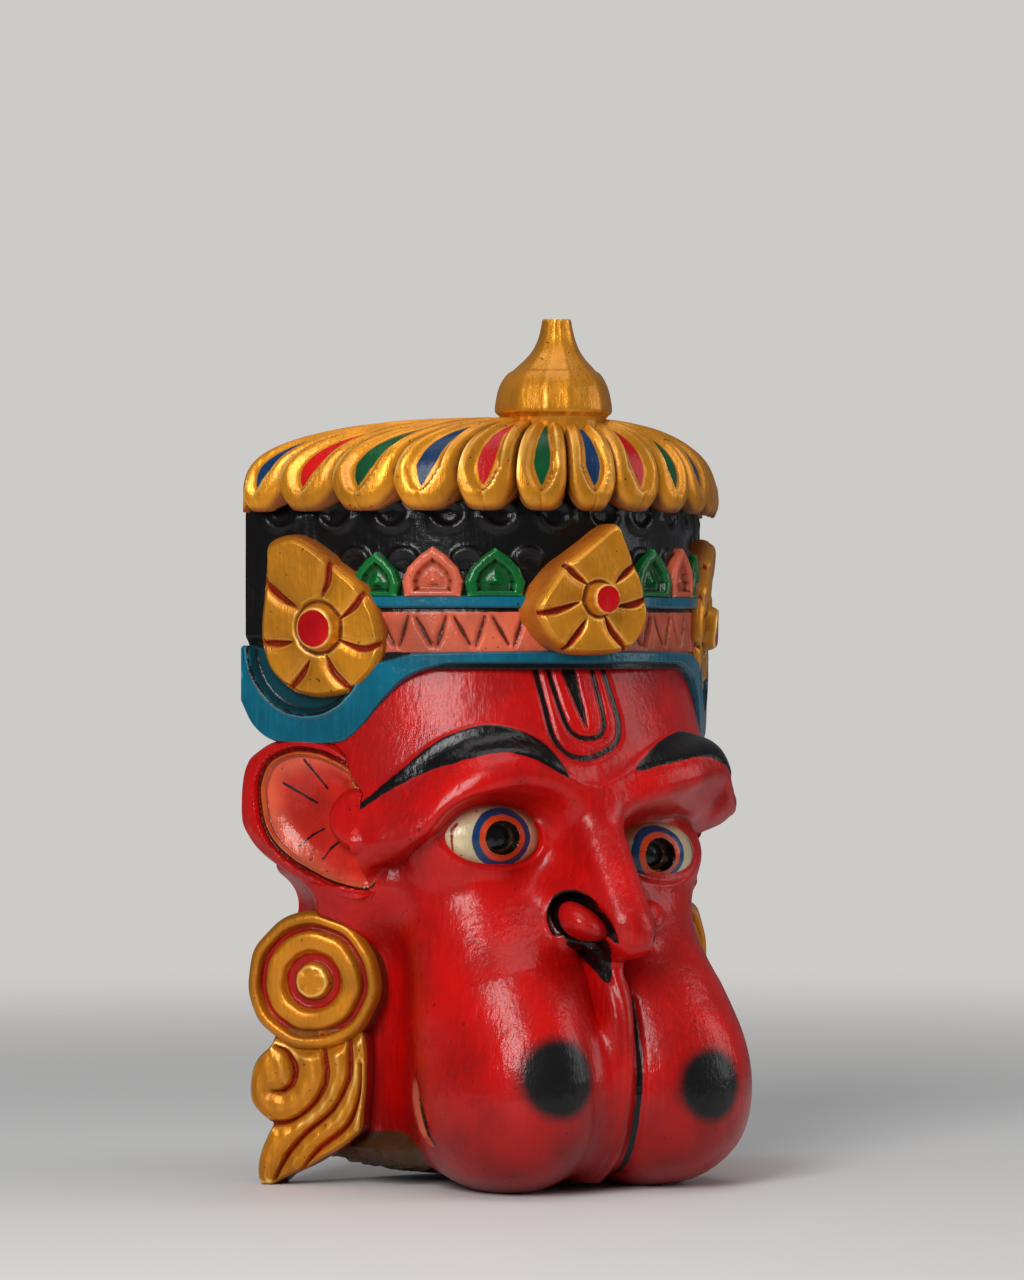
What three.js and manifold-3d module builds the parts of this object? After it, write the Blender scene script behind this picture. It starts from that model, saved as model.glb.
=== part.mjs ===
// A carved and painted wooden mask of Hanuman, the monkey hero: a tall crown under a cap of petals
// with a round finial, a broad red monkey face, cupped ears and large round earrings.
// It is one block of wood, scooped out behind and cut flat at the back, and it stands on the two
// lobes of its muzzle and the tips of its earrings. Sizes are in millimetres.
// Places are worked out as (x, d, z): x to the right as one faces the mask, d forward from the flat
// back and z up from the floor. Only the last step turns d into the model's own y.

import * as THREE from 'three';
import { mergeVertices } from 'three/addons/utils/BufferGeometryUtils.js';
import Module from 'manifold-3d';

const wasm = await Module();
wasm.setup();

// Driving dimensions
const HEIGHT = 318;             // floor to the top of the finial
const DEPTH = 118;              // flat back to the tip of the nose
const CROWN_HALF_WIDTH = 99;
const CROWN_DEPTH = 78;
const CROWN_FLANK = 55;         // degrees that the flat flanks of the crown turn back
const HAIR_BASE_Z = 215.8;
const HAIR_TOP_Z = 262;
const BAND_TOP_Z = 211;         // lower edge of the upper blue strip
const BAND_BASE_Z = 194.5;       // upper edge of the lower blue strip
const CROWN_BASE_Z = 189.5;
const FACE_TOP_Z = 205;         // the forehead runs up inside the crown
const STRIP_END_S = 106;        // the strips stop under the side rosettes
const CHIN_Z = 4;
const EYE = { x: 34.1, d: 60, halfX: 23.5, halfD: 17.5, halfZ: 15, turn: 11, leftZ: 128.5, rightZ: 121 };
const PUPIL = { radius: 6.2, depth: 6 };
const NOSE_TIP = { d: DEPTH - 1.4, z: 90 };
const LOBE = { d: 68, z: 36, halfD: 45, halfUp: 48.5, halfDown: 37 };
const LOBE_LEFT = { x: -28, halfX: 31.5 };
const LOBE_RIGHT = { x: 31, halfX: 37 };
const EAR = { leftX: 83.5, rightX: 79, d: 18.4, z: 136, turn: 58 };
const EARRING = { leftX: 79, rightX: 77, d: 17.5, z: 75, radius: 25.5, turn: 45, depth: 14 };
const CAP = { rimZ: 247, topZ: 281, overhang: 6.5, petals: 13 };
const FINIAL = { d: 56, baseZ: 279, bulb: 22, bulbZ: 288, neckZ: 304, tip: 6 };
const HOLLOW = { lowZ: 30, highZ: 238, depth: 52, halfWidth: 72, chinHalfWidth: 56 };
const BACK_Y = DEPTH / 2;       // the model's y of the flat back

// Small helpers
const { sin, cos, sqrt, abs, min, max, PI, exp, hypot, atan2, sign } = Math;
const clamp = (v, lo, hi) => min(max(v, lo), hi);
const mix = (a, b, t) => a + (b - a) * t;
const radians = (deg) => deg * PI / 180;
const bump = (v, centre, width) => exp(-(((v - centre) / width) ** 2));
const ease = (v, lo, hi) => {
  const t = clamp((v - lo) / (hi - lo), 0, 1);
  return t * t * (3 - 2 * t);
};

// Degrees of an angle between 0 and 360, and a bump round one of them
const degrees = (angle) => ((angle * 180 / PI) % 360 + 360) % 360;
const bumpDeg = (angle, centre, width) => bump(abs(((degrees(angle) - centre + 540) % 360) - 180), 0, width);

// Value at v on a smooth line through [position, value] pairs
function along(v, pairs) {
  if (v <= pairs[0][0]) return pairs[0][1];
  for (let i = 1; i < pairs.length; i += 1) {
    if (v <= pairs[i][0]) {
      return mix(pairs[i - 1][1], pairs[i][1], ease(v, pairs[i - 1][0], pairs[i][0]));
    }
  }
  return pairs[pairs.length - 1][1];
}

// Join of two fields, rounded over a width k, and the matching cut
function blend(a, b, k) {
  const h = max(k - abs(a - b), 0) / k;
  return min(a, b) - h * h * k / 4;
}

function carve(a, b, k) {
  return -blend(-a, b, k);
}

function both(a, b, k) {
  return -blend(-a, -b, k);
}

// Distance to a rod whose radius changes from ra at a to rb at b
function rod(p, a, b, ra, rb) {
  const ab = b.map((v, i) => v - a[i]);
  const ap = p.map((v, i) => v - a[i]);
  const dot = ap[0] * ab[0] + ap[1] * ab[1] + ap[2] * ab[2];
  const t = clamp(dot / (ab[0] ** 2 + ab[1] ** 2 + ab[2] ** 2), 0, 1);
  return hypot(ap[0] - ab[0] * t, ap[1] - ab[1] * t, ap[2] - ab[2] * t) - mix(ra, rb, t);
}

function ellipsoid(x, d, z, hx, hd, hz) {
  return (hypot(x / hx, d / hd, z / hz) - 1) * min(hx, hd, hz);
}

// A plan with a round front that runs into two flat flanks
function wedgePlan(halfWidth, depth, flankDeg) {
  const flank = radians(flankDeg);
  const centre = (halfWidth * sin(flank) - depth) / (cos(flank) - 1);
  return { centre, radius: depth - centre, flank };
}

function wedgeDistance({ centre, radius, flank }, x, d) {
  const away = d - centre;
  if (atan2(abs(x), away) < flank) return hypot(x, away) - radius;
  return abs(x) * sin(flank) + away * cos(flank) - radius;
}

// Everything on the crown is placed by s, the length round its plan from the middle of the front
const CROWN = wedgePlan(CROWN_HALF_WIDTH, CROWN_DEPTH, CROWN_FLANK);
const FRONT_ARC = CROWN.radius * CROWN.flank;
const RING_LENGTH = FRONT_ARC + (CROWN_HALF_WIDTH - CROWN.radius * sin(CROWN.flank)) / cos(CROWN.flank);

function crownPoint(s, out = 0) {
  const { flank } = CROWN;
  const turn = clamp(s / CROWN.radius, -flank, flank);
  const rest = max(abs(s) - FRONT_ARC, 0);
  return {
    x: (CROWN.radius + out) * sin(turn) + sign(s) * rest * cos(flank),
    d: CROWN.centre + (CROWN.radius + out) * cos(turn) - rest * sin(flank),
    turn: turn * 180 / PI,
  };
}

// Face: a half oval in plan that leans forward from the hair line to the brow. Below the ears it
// narrows to a wedge whose flanks carry the earrings.
const JAW = wedgePlan(80, 60, 48);

function face(x, d, z) {
  const halfWidth = along(z, [[85, 79], [118, 84], [150, 84], [200, 80]]);
  const depth = along(z, [[95, 74], [118, 67], [136, 78], [158, 84], [205, 72]]);
  const oval = (hypot(x / halfWidth, d / depth) - 1) * depth;
  const side = mix(wedgeDistance(JAW, x, d), oval, ease(z, 82, 112));
  return max(both(side, CHIN_Z + 8 - z, 8), z - FACE_TOP_Z);
}

function lobe(x, d, z, own) {
  const up = z > LOBE.z;
  const n = 2.15;
  const ex = abs((x - own.x) / own.halfX) ** n;
  const ed = abs((d - LOBE.d) / LOBE.halfD) ** n;
  const ez = abs((z - LOBE.z) / (up ? LOBE.halfUp : LOBE.halfDown)) ** (up ? 2 : 2.3);
  return ((ex + ed + ez) ** (1 / n) - 1) * own.halfX;
}

// Muzzle: two hanging lobes with a narrow lip between two creases
function muzzle(x, d, z) {
  const cheeks = rod([abs(x), d, z], [26, 62, 70], [33, 45, 112], 32.5, 24);
  const lobes = blend(blend(lobe(x, d, z, LOBE_LEFT), lobe(x, d, z, LOBE_RIGHT), 18), cheeks, 12);
  const lipD = along(z, [[2, 84], [14, 98], [32, 105], [50, 107], [70, 105], [84, 97]]);
  const lip = max(hypot((x + 0.5) * 1.1, d - lipD) - 5, z - 84, 3 - z);
  return blend(lobes, lip, 1.2);
}

function nose(x, d, z) {
  const bridge = rod([x, d, z], [0, 78, 137], [0, NOSE_TIP.d - 12.5, NOSE_TIP.z + 4], 10, 12);
  const tip = ellipsoid(x, d - (NOSE_TIP.d - 13), z - NOSE_TIP.z - 1, 13.5, 13.5, 9);
  const wings = ellipsoid(abs(x) - 17, d - 95, z - 97, 10, 12, 9.5);
  return blend(blend(bridge, tip, 5), wings, 2);
}

function nostril(x, d, z) {
  return rod([abs(x), d, z], [9, 106, 82], [13, 99, 88], 6, 5);
}

// Brow: a thick bar over each eye that turns down and back at its outer end, further down on the
// left than on the right. Each point is [x, d, z, radius].
const BROW_PATH = [[3, 80, 150, 11.5], [30, 80, 150, 9.5], [56, 67, 143, 9], [70, 51, 133, 8.5]];
const BROW_END = { left: [72, 40, 121, 7], right: [71, 42, 130, 7] };

function brow(x, d, z) {
  const path = [...BROW_PATH, x < 0 ? BROW_END.left : BROW_END.right];
  let field = Infinity;
  for (let i = 0; i + 1 < path.length; i += 1) {
    const [a, b] = [path[i], path[i + 1]];
    const piece = rod([abs(x), d, z], a.slice(0, 3), b.slice(0, 3), a[3], b[3]);
    field = i === 0 ? piece : blend(field, piece, 5);
  }
  return field;
}

// The temple fills out behind the brow, down to a line that falls away from the eye to the ear
const TEMPLE_LOW = {
  left: [[28, 142], [45, 138], [58, 131], [75, 117], [84, 111]],
  right: [[28, 142], [45, 138], [58, 133], [75, 126], [84, 122]],
};

function temple(x, d, z) {
  const low = along(abs(x), x < 0 ? TEMPLE_LOW.left : TEMPLE_LOW.right);
  const plan = ((abs(x) / 82.5) ** 2.5 + (max(d, 0) / 83) ** 2.5) ** (1 / 2.5) - 1;
  return both(both(plan * 80, z - 166, 26), low - z, 9);
}

function socket(x, d, z) {
  const eyeZ = x < 0 ? EYE.leftZ : EYE.rightZ;
  return ellipsoid(abs(x) - EYE.x - 1, d - 84, z - eyeZ - 1, 27, 19, 15);
}

function eyelids(x, d, z) {
  const eyeZ = x < 0 ? EYE.leftZ : EYE.rightZ;
  return ellipsoid(abs(x) - EYE.x, d - EYE.d + 4, z - eyeZ, EYE.halfX + 5, EYE.halfD, EYE.halfZ + 6);
}

// The beard under the jaw
function beard(x, d, z) {
  return ellipsoid(x, d - 8, z - 14, 68, 62, 12);
}

// The whole outside as one field, negative in the wood
function head(x, d, z) {
  let field = face(x, d, z);
  field = blend(field, temple(x, d, z), 8);
  field = blend(field, brow(x, d, z), 9);
  field = carve(field, socket(x, d, z), 4);
  field = blend(field, eyelids(x, d, z), 2);
  field = blend(field, muzzle(x, d, z), 12);
  field = blend(field, nose(x, d, z), 5);
  field = carve(field, nostril(x, d, z), 1.5);
  return min(field, beard(x, d, z));
}

// The hollow behind: a smooth scoop that leaves a thick wall all round
function scoop(x, d, z) {
  const mid = (HOLLOW.lowZ + HOLLOW.highZ) / 2;
  const halfWidth = mix(HOLLOW.chinHalfWidth, HOLLOW.halfWidth, ease(z, 70, 180));
  const depth = mix(HOLLOW.depth - 10, HOLLOW.depth, ease(z, 60, 150));
  const plan = (abs(x) / halfWidth) ** 2.2 + (d / depth) ** 2.2;
  const rise = (abs(z - mid) / (HOLLOW.highZ - mid)) ** 4;
  return ((plan + rise) ** (1 / 2.2) - 1) * 40;
}

// Outermost crossing of a field on the line from an inner point
function reach(field, from, dir) {
  const at = (r) => field(from[0] + dir[0] * r, from[1] + dir[1] * r, from[2] + dir[2] * r);
  const step = 1.5;
  let hi = 150;
  while (hi > step && at(hi - step) > 0) hi -= step;
  let lo = hi - step;
  for (let i = 0; i < 12; i += 1) {
    const middle = (lo + hi) / 2;
    if (at(middle) > 0) hi = middle;
    else lo = middle;
  }
  return (lo + hi) / 2;
}

// Rows of looking directions: up over the top, level down the front, then under the chin.
// The directions at a row's two ends lie in the back plane, so the skin ends on it.
const LEVEL_TOP_Z = 194;
const LEVEL_BASE_Z = 46;
const FACE_ROWS = [187, 178, 170, 163, 158, 154, 150, 146.5, 143.5, 140.5, 137, 133, 129, 125, 121, 116,
  111, 106, 102, 98, 94.5, 91.5, 88.5, 85.5, 82, 77, 71, 63, 54];

function skin(field, rows, turns) {
  return rows.map((row) => turns.map((turn) => {
    const tilt = radians(row.tilt);
    const dir = [cos(tilt) * sin(turn), cos(tilt) * cos(turn), sin(tilt)];
    const r = reach(field, [0, 0, row.z], dir);
    return [dir[0] * r, max(dir[1] * r, 0), row.z + dir[2] * r];
  }));
}

function lookingRows(topTilts, levels, chinTilts) {
  return [
    ...topTilts.map((tilt) => ({ z: LEVEL_TOP_Z, tilt })),
    ...levels.map((z) => ({ z, tilt: 0 })),
    ...chinTilts.map((tilt) => ({ z: LEVEL_BASE_Z, tilt })),
  ];
}

// Columns lie closer together over the nose and the lip
function lookingTurns(count) {
  return Array.from({ length: count + 1 }, (_, i) => {
    const t = i / count * 2 - 1;
    return radians(90) * (0.68 * t + 0.32 * t * abs(t));
  });
}

// Mesh data becomes a solid. Here d turns into y.
function solid(points, faces) {
  const vertProperties = new Float32Array(points.length * 3);
  points.forEach(([x, d, z], i) => vertProperties.set([x, BACK_Y - d, z], i * 3));
  const mesh = new wasm.Mesh({ numProp: 3, vertProperties, triVerts: new Uint32Array(faces.flat()) });
  return new wasm.Manifold(mesh);
}

// A skin whose first and last rows are single points, closed by a flat back. Each four-sided cell
// is split along its shorter diagonal.
function closedSkin(rows, backD) {
  const points = [];
  const faces = [];
  const ids = rows.map((row, j) => {
    if (j > 0 && j < rows.length - 1) return row.map((p) => points.push(p) - 1);
    points.push(row[0]);
    return row.map(() => points.length - 1);
  });
  const back = points.push([0, backD, (rows[0][0][2] + rows[rows.length - 1][0][2]) / 2]) - 1;
  const add = (a, b, c) => {
    if (a !== b && b !== c && a !== c) faces.push([a, b, c]);
  };
  const apart = (a, b) => hypot(...points[a].map((v, i) => v - points[b][i]));
  for (let j = 0; j + 1 < ids.length; j += 1) {
    const last = ids[j].length - 1;
    for (let i = 0; i < last; i += 1) {
      const [a, b, c, e] = [ids[j][i], ids[j + 1][i], ids[j + 1][i + 1], ids[j][i + 1]];
      if (apart(a, c) < apart(b, e)) {
        add(a, b, c);
        add(a, c, e);
      } else {
        add(a, b, e);
        add(b, c, e);
      }
    }
    add(back, ids[j + 1][0], ids[j][0]);
    add(back, ids[j][last], ids[j + 1][last]);
  }
  return solid(points, faces);
}

function carvedHead() {
  const rows = lookingRows([90, 0], FACE_ROWS, [0, -9, -18, -27, -35, -43, -51, -60, -75, -90]);
  return closedSkin(skin(head, rows, lookingTurns(42)), 0);
}

function hollow() {
  const rows = lookingRows([90, 60, 25], [180, 150, 120, 90, 66], [0, -30, -90]);
  const behind = 1;
  const inner = skin(scoop, rows, lookingTurns(12)).map((row) => row.map(([x, d, z]) => [x, d - behind, z]));
  return closedSkin(inner, -behind);
}

// Where a plate sits: centre, how far it turns sideways from facing forward, and how far it leans.
// The answer turns (a, b, h), right, up and outward on the plate, into (x, d, z).
function seat(x, d, z, turnDeg, leanDeg = 0) {
  const turn = radians(turnDeg);
  const lean = radians(leanDeg);
  const right = [cos(turn), -sin(turn), 0];
  const up = [-sin(turn) * sin(lean), -cos(turn) * sin(lean), cos(lean)];
  const out = [sin(turn) * cos(lean), cos(turn) * cos(lean), sin(lean)];
  const centre = [x, d, z];
  return (a, b, h) => centre.map((v, i) => v + right[i] * a + up[i] * b + out[i] * h);
}

const around = (count) => Array.from({ length: count }, (_, i) => i / count * 2 * PI);

// Rings of points round a centre, closed by a point at the front and one at the back
function ringed(front, rings, back) {
  const points = [front, ...rings.flat(), back];
  const faces = [];
  const count = rings[0].length;
  const last = points.length - 1;
  for (let i = 0; i < count; i += 1) {
    const next = (i + 1) % count;
    faces.push([0, 1 + i, 1 + next]);
    for (let ring = 0; ring + 1 < rings.length; ring += 1) {
      const a = 1 + ring * count;
      faces.push([a + i, a + count + i, a + count + next], [a + i, a + count + next, a + next]);
    }
    faces.push([last, last - count + next, last - count + i]);
  }
  return solid(points, faces);
}

// A relief plate: an outline, heights over it and a flat back buried in the wood
function relief(place, outline, height, levels, angles, depth) {
  const ring = (level, h) => angles.map((angle) => {
    const r = outline(angle) * level;
    return place(r * cos(angle), r * sin(angle), h(level, angle));
  });
  const rings = levels.map((level) => ring(level, height));
  rings.push(ring(1, () => -depth));
  return ringed(place(0, 0, height(0, 0)), rings, place(0, 0, -depth));
}

// A turned shape: [radius, height] pairs carried round the plate's outward line
function turned(place, profile, count) {
  const ring = ([r, h]) => around(count).map((t) => place(r * cos(t), r * sin(t), h));
  const [front, back] = [profile[0][1], profile[profile.length - 1][1]];
  return ringed(place(0, 0, front), profile.slice(1, -1).map(ring), place(0, 0, back));
}

// A carved strand: a rounded section carried along [a, b, half width] points of a plate
function strand(place, path, height, depth) {
  const rings = path.map(([a, b, half], i) => {
    const before = path[max(i - 1, 0)];
    const after = path[min(i + 1, path.length - 1)];
    const length = hypot(after[0] - before[0], after[1] - before[1]);
    const across = [(after[1] - before[1]) / length, -(after[0] - before[0]) / length];
    const section = [[-1, -depth], [1, -depth], [1, 0], [0.55, height], [-0.55, height], [-1, 0]];
    return section.map(([u, h]) => place(a + across[0] * u * half, b + across[1] * u * half, h));
  });
  const [start, end] = [path[0], path[path.length - 1]];
  return ringed(place(start[0], start[1], 0), rings, place(end[0], end[1], 0));
}

// The crown's wall: hair set back above, two blue strips with a salmon band between them
function crownRelief(s, z) {
  if (s > STRIP_END_S || z > HAIR_BASE_Z) return -2.5;
  if (z > BAND_TOP_Z) return 1.8;
  return z < BAND_BASE_Z ? 2.4 : 0;
}

function crown() {
  const bend = [1, 0.75, 0.5, 0.25].map((part) => part * FRONT_ARC);
  const half = [RING_LENGTH, STRIP_END_S + 0.5, STRIP_END_S - 0.5, ...bend];
  const line = [...half.map((s) => -s), 0, ...half.reverse()];
  const ring = (levelZ, reliefZ) => line.map((s) => {
    const at = crownPoint(s, crownRelief(abs(s), reliefZ));
    return [at.x, max(at.d, 0), levelZ];
  });
  const edge = 0.5;
  const steps = [BAND_BASE_Z, BAND_TOP_Z, HAIR_BASE_Z];
  const rings = [ring(CROWN_BASE_Z, CROWN_BASE_Z)];
  steps.forEach((z) => rings.push(ring(z - edge, z - edge), ring(z + edge, z + edge)));
  rings.push(ring(HAIR_TOP_Z, HAIR_TOP_Z));
  return ringed([0, 30, HAIR_TOP_Z], rings.reverse(), [0, 30, CROWN_BASE_Z]);
}

// A flower: petals parted by cuts, a taller petal at the top and a round button in the middle.
// Four samples a petal put a line of points in the bottom of every cut.
const ROSETTE = { button: 0.2, foot: 0.35, rim: 0.93, buttonHigh: 5.5, cutDeep: 2.4, edgeDrop: 2.5 };
const ROSETTE_DEPTH = 14;

function rosette(place, radius, cuts, lobeAt, lift, mirrored) {
  const own = (deg) => ((mirrored ? 180 - deg : deg) + 360) % 360;
  const sorted = cuts.map(own).sort((a, b) => a - b);
  const samples = sorted.flatMap((from, i) => {
    const to = i + 1 < sorted.length ? sorted[i + 1] : sorted[0] + 360;
    return [0, 0.1, 0.5, 0.9].map((part) => ({ angle: radians(mix(from, to, part)), part }));
  });
  const parts = new Map(samples.map(({ angle, part }) => [angle, part]));
  const petal = (angle) => 0.92 + 0.1 * sin(parts.get(angle) * PI) + 0.42 * bumpDeg(angle, own(lobeAt), 24);
  const height = (level, angle) => {
    if (level <= ROSETTE.button) return lift + ROSETTE.buttonHigh;
    const cut = parts.get(angle) === 0 ? ROSETTE.cutDeep : 0;
    return lift - cut - (level === 1 ? ROSETTE.edgeDrop : 0);
  };
  const levels = [ROSETTE.button, ROSETTE.foot, ROSETTE.rim, 1];
  const angles = samples.map(({ angle }) => angle);
  return relief(place, (angle) => radius * petal(angle), height, levels, angles, ROSETTE_DEPTH);
}

const SIDE_CUTS = [138, 76, 32, -14, -56, -113, -165];
const FRONT_CUTS = [134, 39, 1, -53, -125, -168];

function rosettes() {
  return [
    rosette(seat(-80, 27.5, 203, -54, -4), 25, SIDE_CUTS, 110, 6, false),
    rosette(seat(78.5, 26.5, 203, 54, -4), 25, SIDE_CUTS, 110, 6, true),
    rosette(seat(0, CROWN_DEPTH, 214.5, 0), 21.5, FRONT_CUTS, 80, 11, false),
  ];
}

// Pointed leaves stand on the band against the hair: a raised rim round a sunk middle
const LEAF = { half: 11, high: 17, first: 34.3, spacing: 22.6, perSide: 3 };

function leaf(s) {
  const at = crownPoint(s, -2.5);
  const place = seat(at.x, at.d, HAIR_BASE_Z, at.turn);
  const edge = [[-1, 0], [-0.95, 0.4], [-0.6, 0.75], [0, 1], [0.6, 0.75], [0.95, 0.4], [1, 0]];
  const middle = 0.3;
  const ring = (scale, h) => edge.map(([u, v]) => {
    return place(u * LEAF.half * scale, LEAF.high * (middle + (v - middle) * scale), h);
  });
  const rings = [ring(0.62, 2), ring(0.72, 4), ring(1, 4), ring(1, -3)].map((points) => points.reverse());
  return ringed(place(0, LEAF.high * middle, 2.5), rings, place(0, LEAF.high * middle, -3));
}

function leaves() {
  const centres = Array.from({ length: LEAF.perSide }, (_, i) => LEAF.first + i * LEAF.spacing);
  return centres.flatMap((s) => [leaf(s), leaf(-s)]);
}

// Two rows of flat curls in the hair under the cap
const CURL = { half: 9, upperZ: 243.5, lowerZ: 230.5, spacing: 21 };

function curl(s, z) {
  const at = crownPoint(s, -2.5);
  const outline = (angle) => CURL.half / hypot(cos(angle), sin(angle) * 2.1);
  return relief(seat(at.x, at.d, z, at.turn), outline, (level) => (level < 1 ? 2 : 0), [1], around(7), 3);
}

function curls() {
  const upper = [-4, -3, -2, -1, 0, 1, 2, 3, 4].map((i) => curl(i * CURL.spacing, CURL.upperZ));
  const lower = [-3, -2, -1, 1, 2, 3].map((i) => curl((i - sign(i) * 0.5) * CURL.spacing, CURL.lowerZ));
  return [...upper, ...lower];
}

// The lower strip sweeps down under each side rosette into a scroll with a sunk middle
const SCROLL = { s: 102, z: 184 };
const SCROLL_EDGE = [[-36, 13], [-32, 9], [-27, -2], [-22, -11], [-14, -18], [-8, -21], [8, -21.5], [22, -20],
  [29, -13], [30.5, -4], [30.5, 13]];

function scroll(side) {
  const at = crownPoint(side * SCROLL.s);
  const place = seat(at.x, at.d, SCROLL.z, at.turn);
  const edge = side > 0 ? SCROLL_EDGE : SCROLL_EDGE.map(([a, b]) => [-a, b]).reverse();
  const ring = (scale, h) => edge.map(([a, b]) => place(a * scale, 13 + (b - 13) * scale, h));
  const rings = [ring(0.6, 0), ring(0.66, 2.4), ring(1, 2.4), ring(1, -20)];
  return ringed(place(0, 8, 0), rings, place(0, 8, -20));
}

// The cap: petals run from the foot of the finial over a rounded shoulder to hanging tips.
// Every line of it starts under the finial and ends on the rim.
function capRim(s) {
  const p = crownPoint(s, CAP.overhang);
  const limit = CROWN_HALF_WIDTH + 2;
  return [clamp(p.x, -limit, limit), max(p.d, 0)];
}

const CAP_STEPS = [0.2, 0.45, 0.65, 0.8, 0.92, 1];

function capLine(rim, w) {
  const centre = [0, FINIAL.d];
  const away = [rim[0] - centre[0], rim[1] - centre[1]];
  const length = hypot(away[0], away[1]);
  const line = CAP_STEPS.map((step) => {
    const part = sin(step * PI / 2) ** 0.75;
    const level = cos(step * PI / 2) ** 0.62;
    const ridge = w === null ? 0 : (2.4 * bump(w, 0.5, 0.25) - 3 * bump(w, 1, 0.2)) * ease(step, 0.15, 0.45);
    const tip = w === null ? 0 : 6 * w ** 4 * ease(step, 0.7, 1);
    const r = part + ridge * part * 0.8 / length;
    const z = CAP.rimZ + tip + (CAP.topZ - CAP.rimZ) * level + ridge * level;
    return [centre[0] + away[0] * r, rim[1] === 0 && step === 1 ? 0 : max(centre[1] + away[1] * r, 0), z];
  });
  line.push([centre[0] + away[0] * 0.93, max(centre[1] + away[1] * 0.93, 0), CAP.rimZ + 6]);
  return line;
}

function cap() {
  const across = 4;
  const lines = [];
  for (let i = 0; i <= CAP.petals * across; i += 1) {
    const s = -RING_LENGTH + 2 * RING_LENGTH * i / (CAP.petals * across);
    lines.push(capLine(capRim(s), abs((i % across) / across * 2 - 1)));
  }
  [0.65, 0, -0.65].forEach((t) => lines.push(capLine([t * CROWN_HALF_WIDTH, 0], null)));
  const rings = lines[0].map((_, k) => lines.map((line) => line[k]));
  return ringed([0, FINIAL.d, CAP.topZ], rings, [0, FINIAL.d, CAP.rimZ + 6]);
}

function finial() {
  const { bulb, bulbZ, neckZ, tip, baseZ } = FINIAL;
  const profile = [[0, HEIGHT], [tip, HEIGHT], [tip + 0.6, 312], [8.5, neckZ], [14, 299], [bulb * 0.77, 297],
    [bulb * 0.93, 293], [bulb, bulbZ], [bulb * 0.97, 282], [bulb * 0.85, baseZ - 4], [0, baseZ - 4]];
  return turned((a, b, h) => [a, FINIAL.d - b, h], profile, 16);
}

// Eyeballs, each with a shallow drilled pupil
function eye(side) {
  const place = seat(side * EYE.x, EYE.d, side < 0 ? EYE.leftZ : EYE.rightZ, side * EYE.turn);
  const outline = (angle) => 1 / hypot(cos(angle) / EYE.halfX, sin(angle) / EYE.halfZ);
  const pupil = PUPIL.radius / EYE.halfZ;
  const ball = (level) => EYE.halfD * sqrt(max(1 - level * level, 0));
  const height = (level) => (level < pupil ? EYE.halfD - PUPIL.depth : ball(level));
  return relief(place, outline, height, [pupil - 0.02, pupil + 0.02, 0.7, 0.93, 1], around(16), 4);
}

// Ears: cupped plates on the sides of the head, with a rim and a groove round a dished middle
function ear(side) {
  const outline = (angle) => {
    const own = side < 0 ? angle : PI - angle;
    return 24.5 + 5.5 * bumpDeg(own, 140, 45) + 11 * bumpDeg(own, 308, 20) - 2.5 * bumpDeg(own, 10, 40);
  };
  const height = (level) => along(level, [[0, 5], [0.7, 1.5], [0.8, 2], [0.9, 6], [1, 4]]);
  const place = seat(side < 0 ? -EAR.leftX : EAR.rightX, EAR.d, EAR.z, side * EAR.turn);
  return relief(place, outline, height, [0.4, 0.74, 0.88, 1], around(20), 12);
}

function earKnob(side) {
  return turned(seat(side * 77, 37, 134, side * 46), [[0, 8], [4, 7.4], [6.5, 4], [7.5, -7], [0, -7]], 10);
}

// Earrings: a turned disc of rings and a boss, over a curl and three long flutes that sweep down
function earringDisc(place) {
  const profile = [[0, 5], [4.5, 4.5], [6.5, 0], [9.5, 0], [11, 3.4], [14.8, 3.4], [17, 0.4], [20, 3.8],
    [23.5, 3.8], [EARRING.radius, 1.2], [EARRING.radius, -EARRING.depth], [0, -EARRING.depth]];
  return turned(place, profile, 18);
}

const PENDANT_STRANDS = [
  [[-1, -22, 5], [-1.5, -35, 4.6], [-5, -43, 4.2], [-12, -47, 4.2], [-19, -42, 4], [-20.5, -34, 3.4]],
  [[8.5, -22, 4.2], [8.8, -34, 3.8], [4.5, -43, 3.6], [-4, -52, 3.6], [-12, -61, 3.8], [-16, -75, 4]],
  [[16.5, -18, 3.6], [16.5, -33, 3.6], [13.5, -44, 3.6], [7.5, -53, 3.6], [-1, -61, 3.6], [-12, -75, 4]],
  [[19.3, -30, 1.4], [19.3, -52, 2.2], [10, -62, 2.6], [-1, -69, 2.6], [-12, -75, 2.4]],
];

function earring(side) {
  const x = side < 0 ? -EARRING.leftX : EARRING.rightX;
  const place = seat(x, EARRING.d, EARRING.z, side * EARRING.turn);
  const flip = (a, b, h) => place(side < 0 ? a : -a, b, h);
  const strands = PENDANT_STRANDS.map((path) => {
    const own = side < 0 ? path : path.map(([a, b, half]) => [-a, b, half]);
    return strand(place, own, 3.2, EARRING.depth);
  });
  const boss = turned((a, b, h) => place(a + (side < 0 ? -15 : 15), b - 34.5, h),
    [[0, 4.5], [4.5, 3.6], [5.5, 0], [5.5, -EARRING.depth], [0, -EARRING.depth]], 10);
  return [earringDisc(place), boss, ...strands, web(side, flip)];
}

// The sunk ground between the strands
const WEB_EDGE = [[19, -15], [19.5, -52], [-12, -75], [-17, -75], [-9, -52], [-20, -42], [-20, -28],
  [-8, -15]];

function web(side, place) {
  const ring = (h) => WEB_EDGE.map(([a, b]) => place(a, b, h));
  const rings = [ring(0.5), ring(-EARRING.depth)].map((points) => (side < 0 ? points.reverse() : points));
  return ringed(place(2, -40, 0.5), rings, place(2, -40, -EARRING.depth));
}

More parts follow.
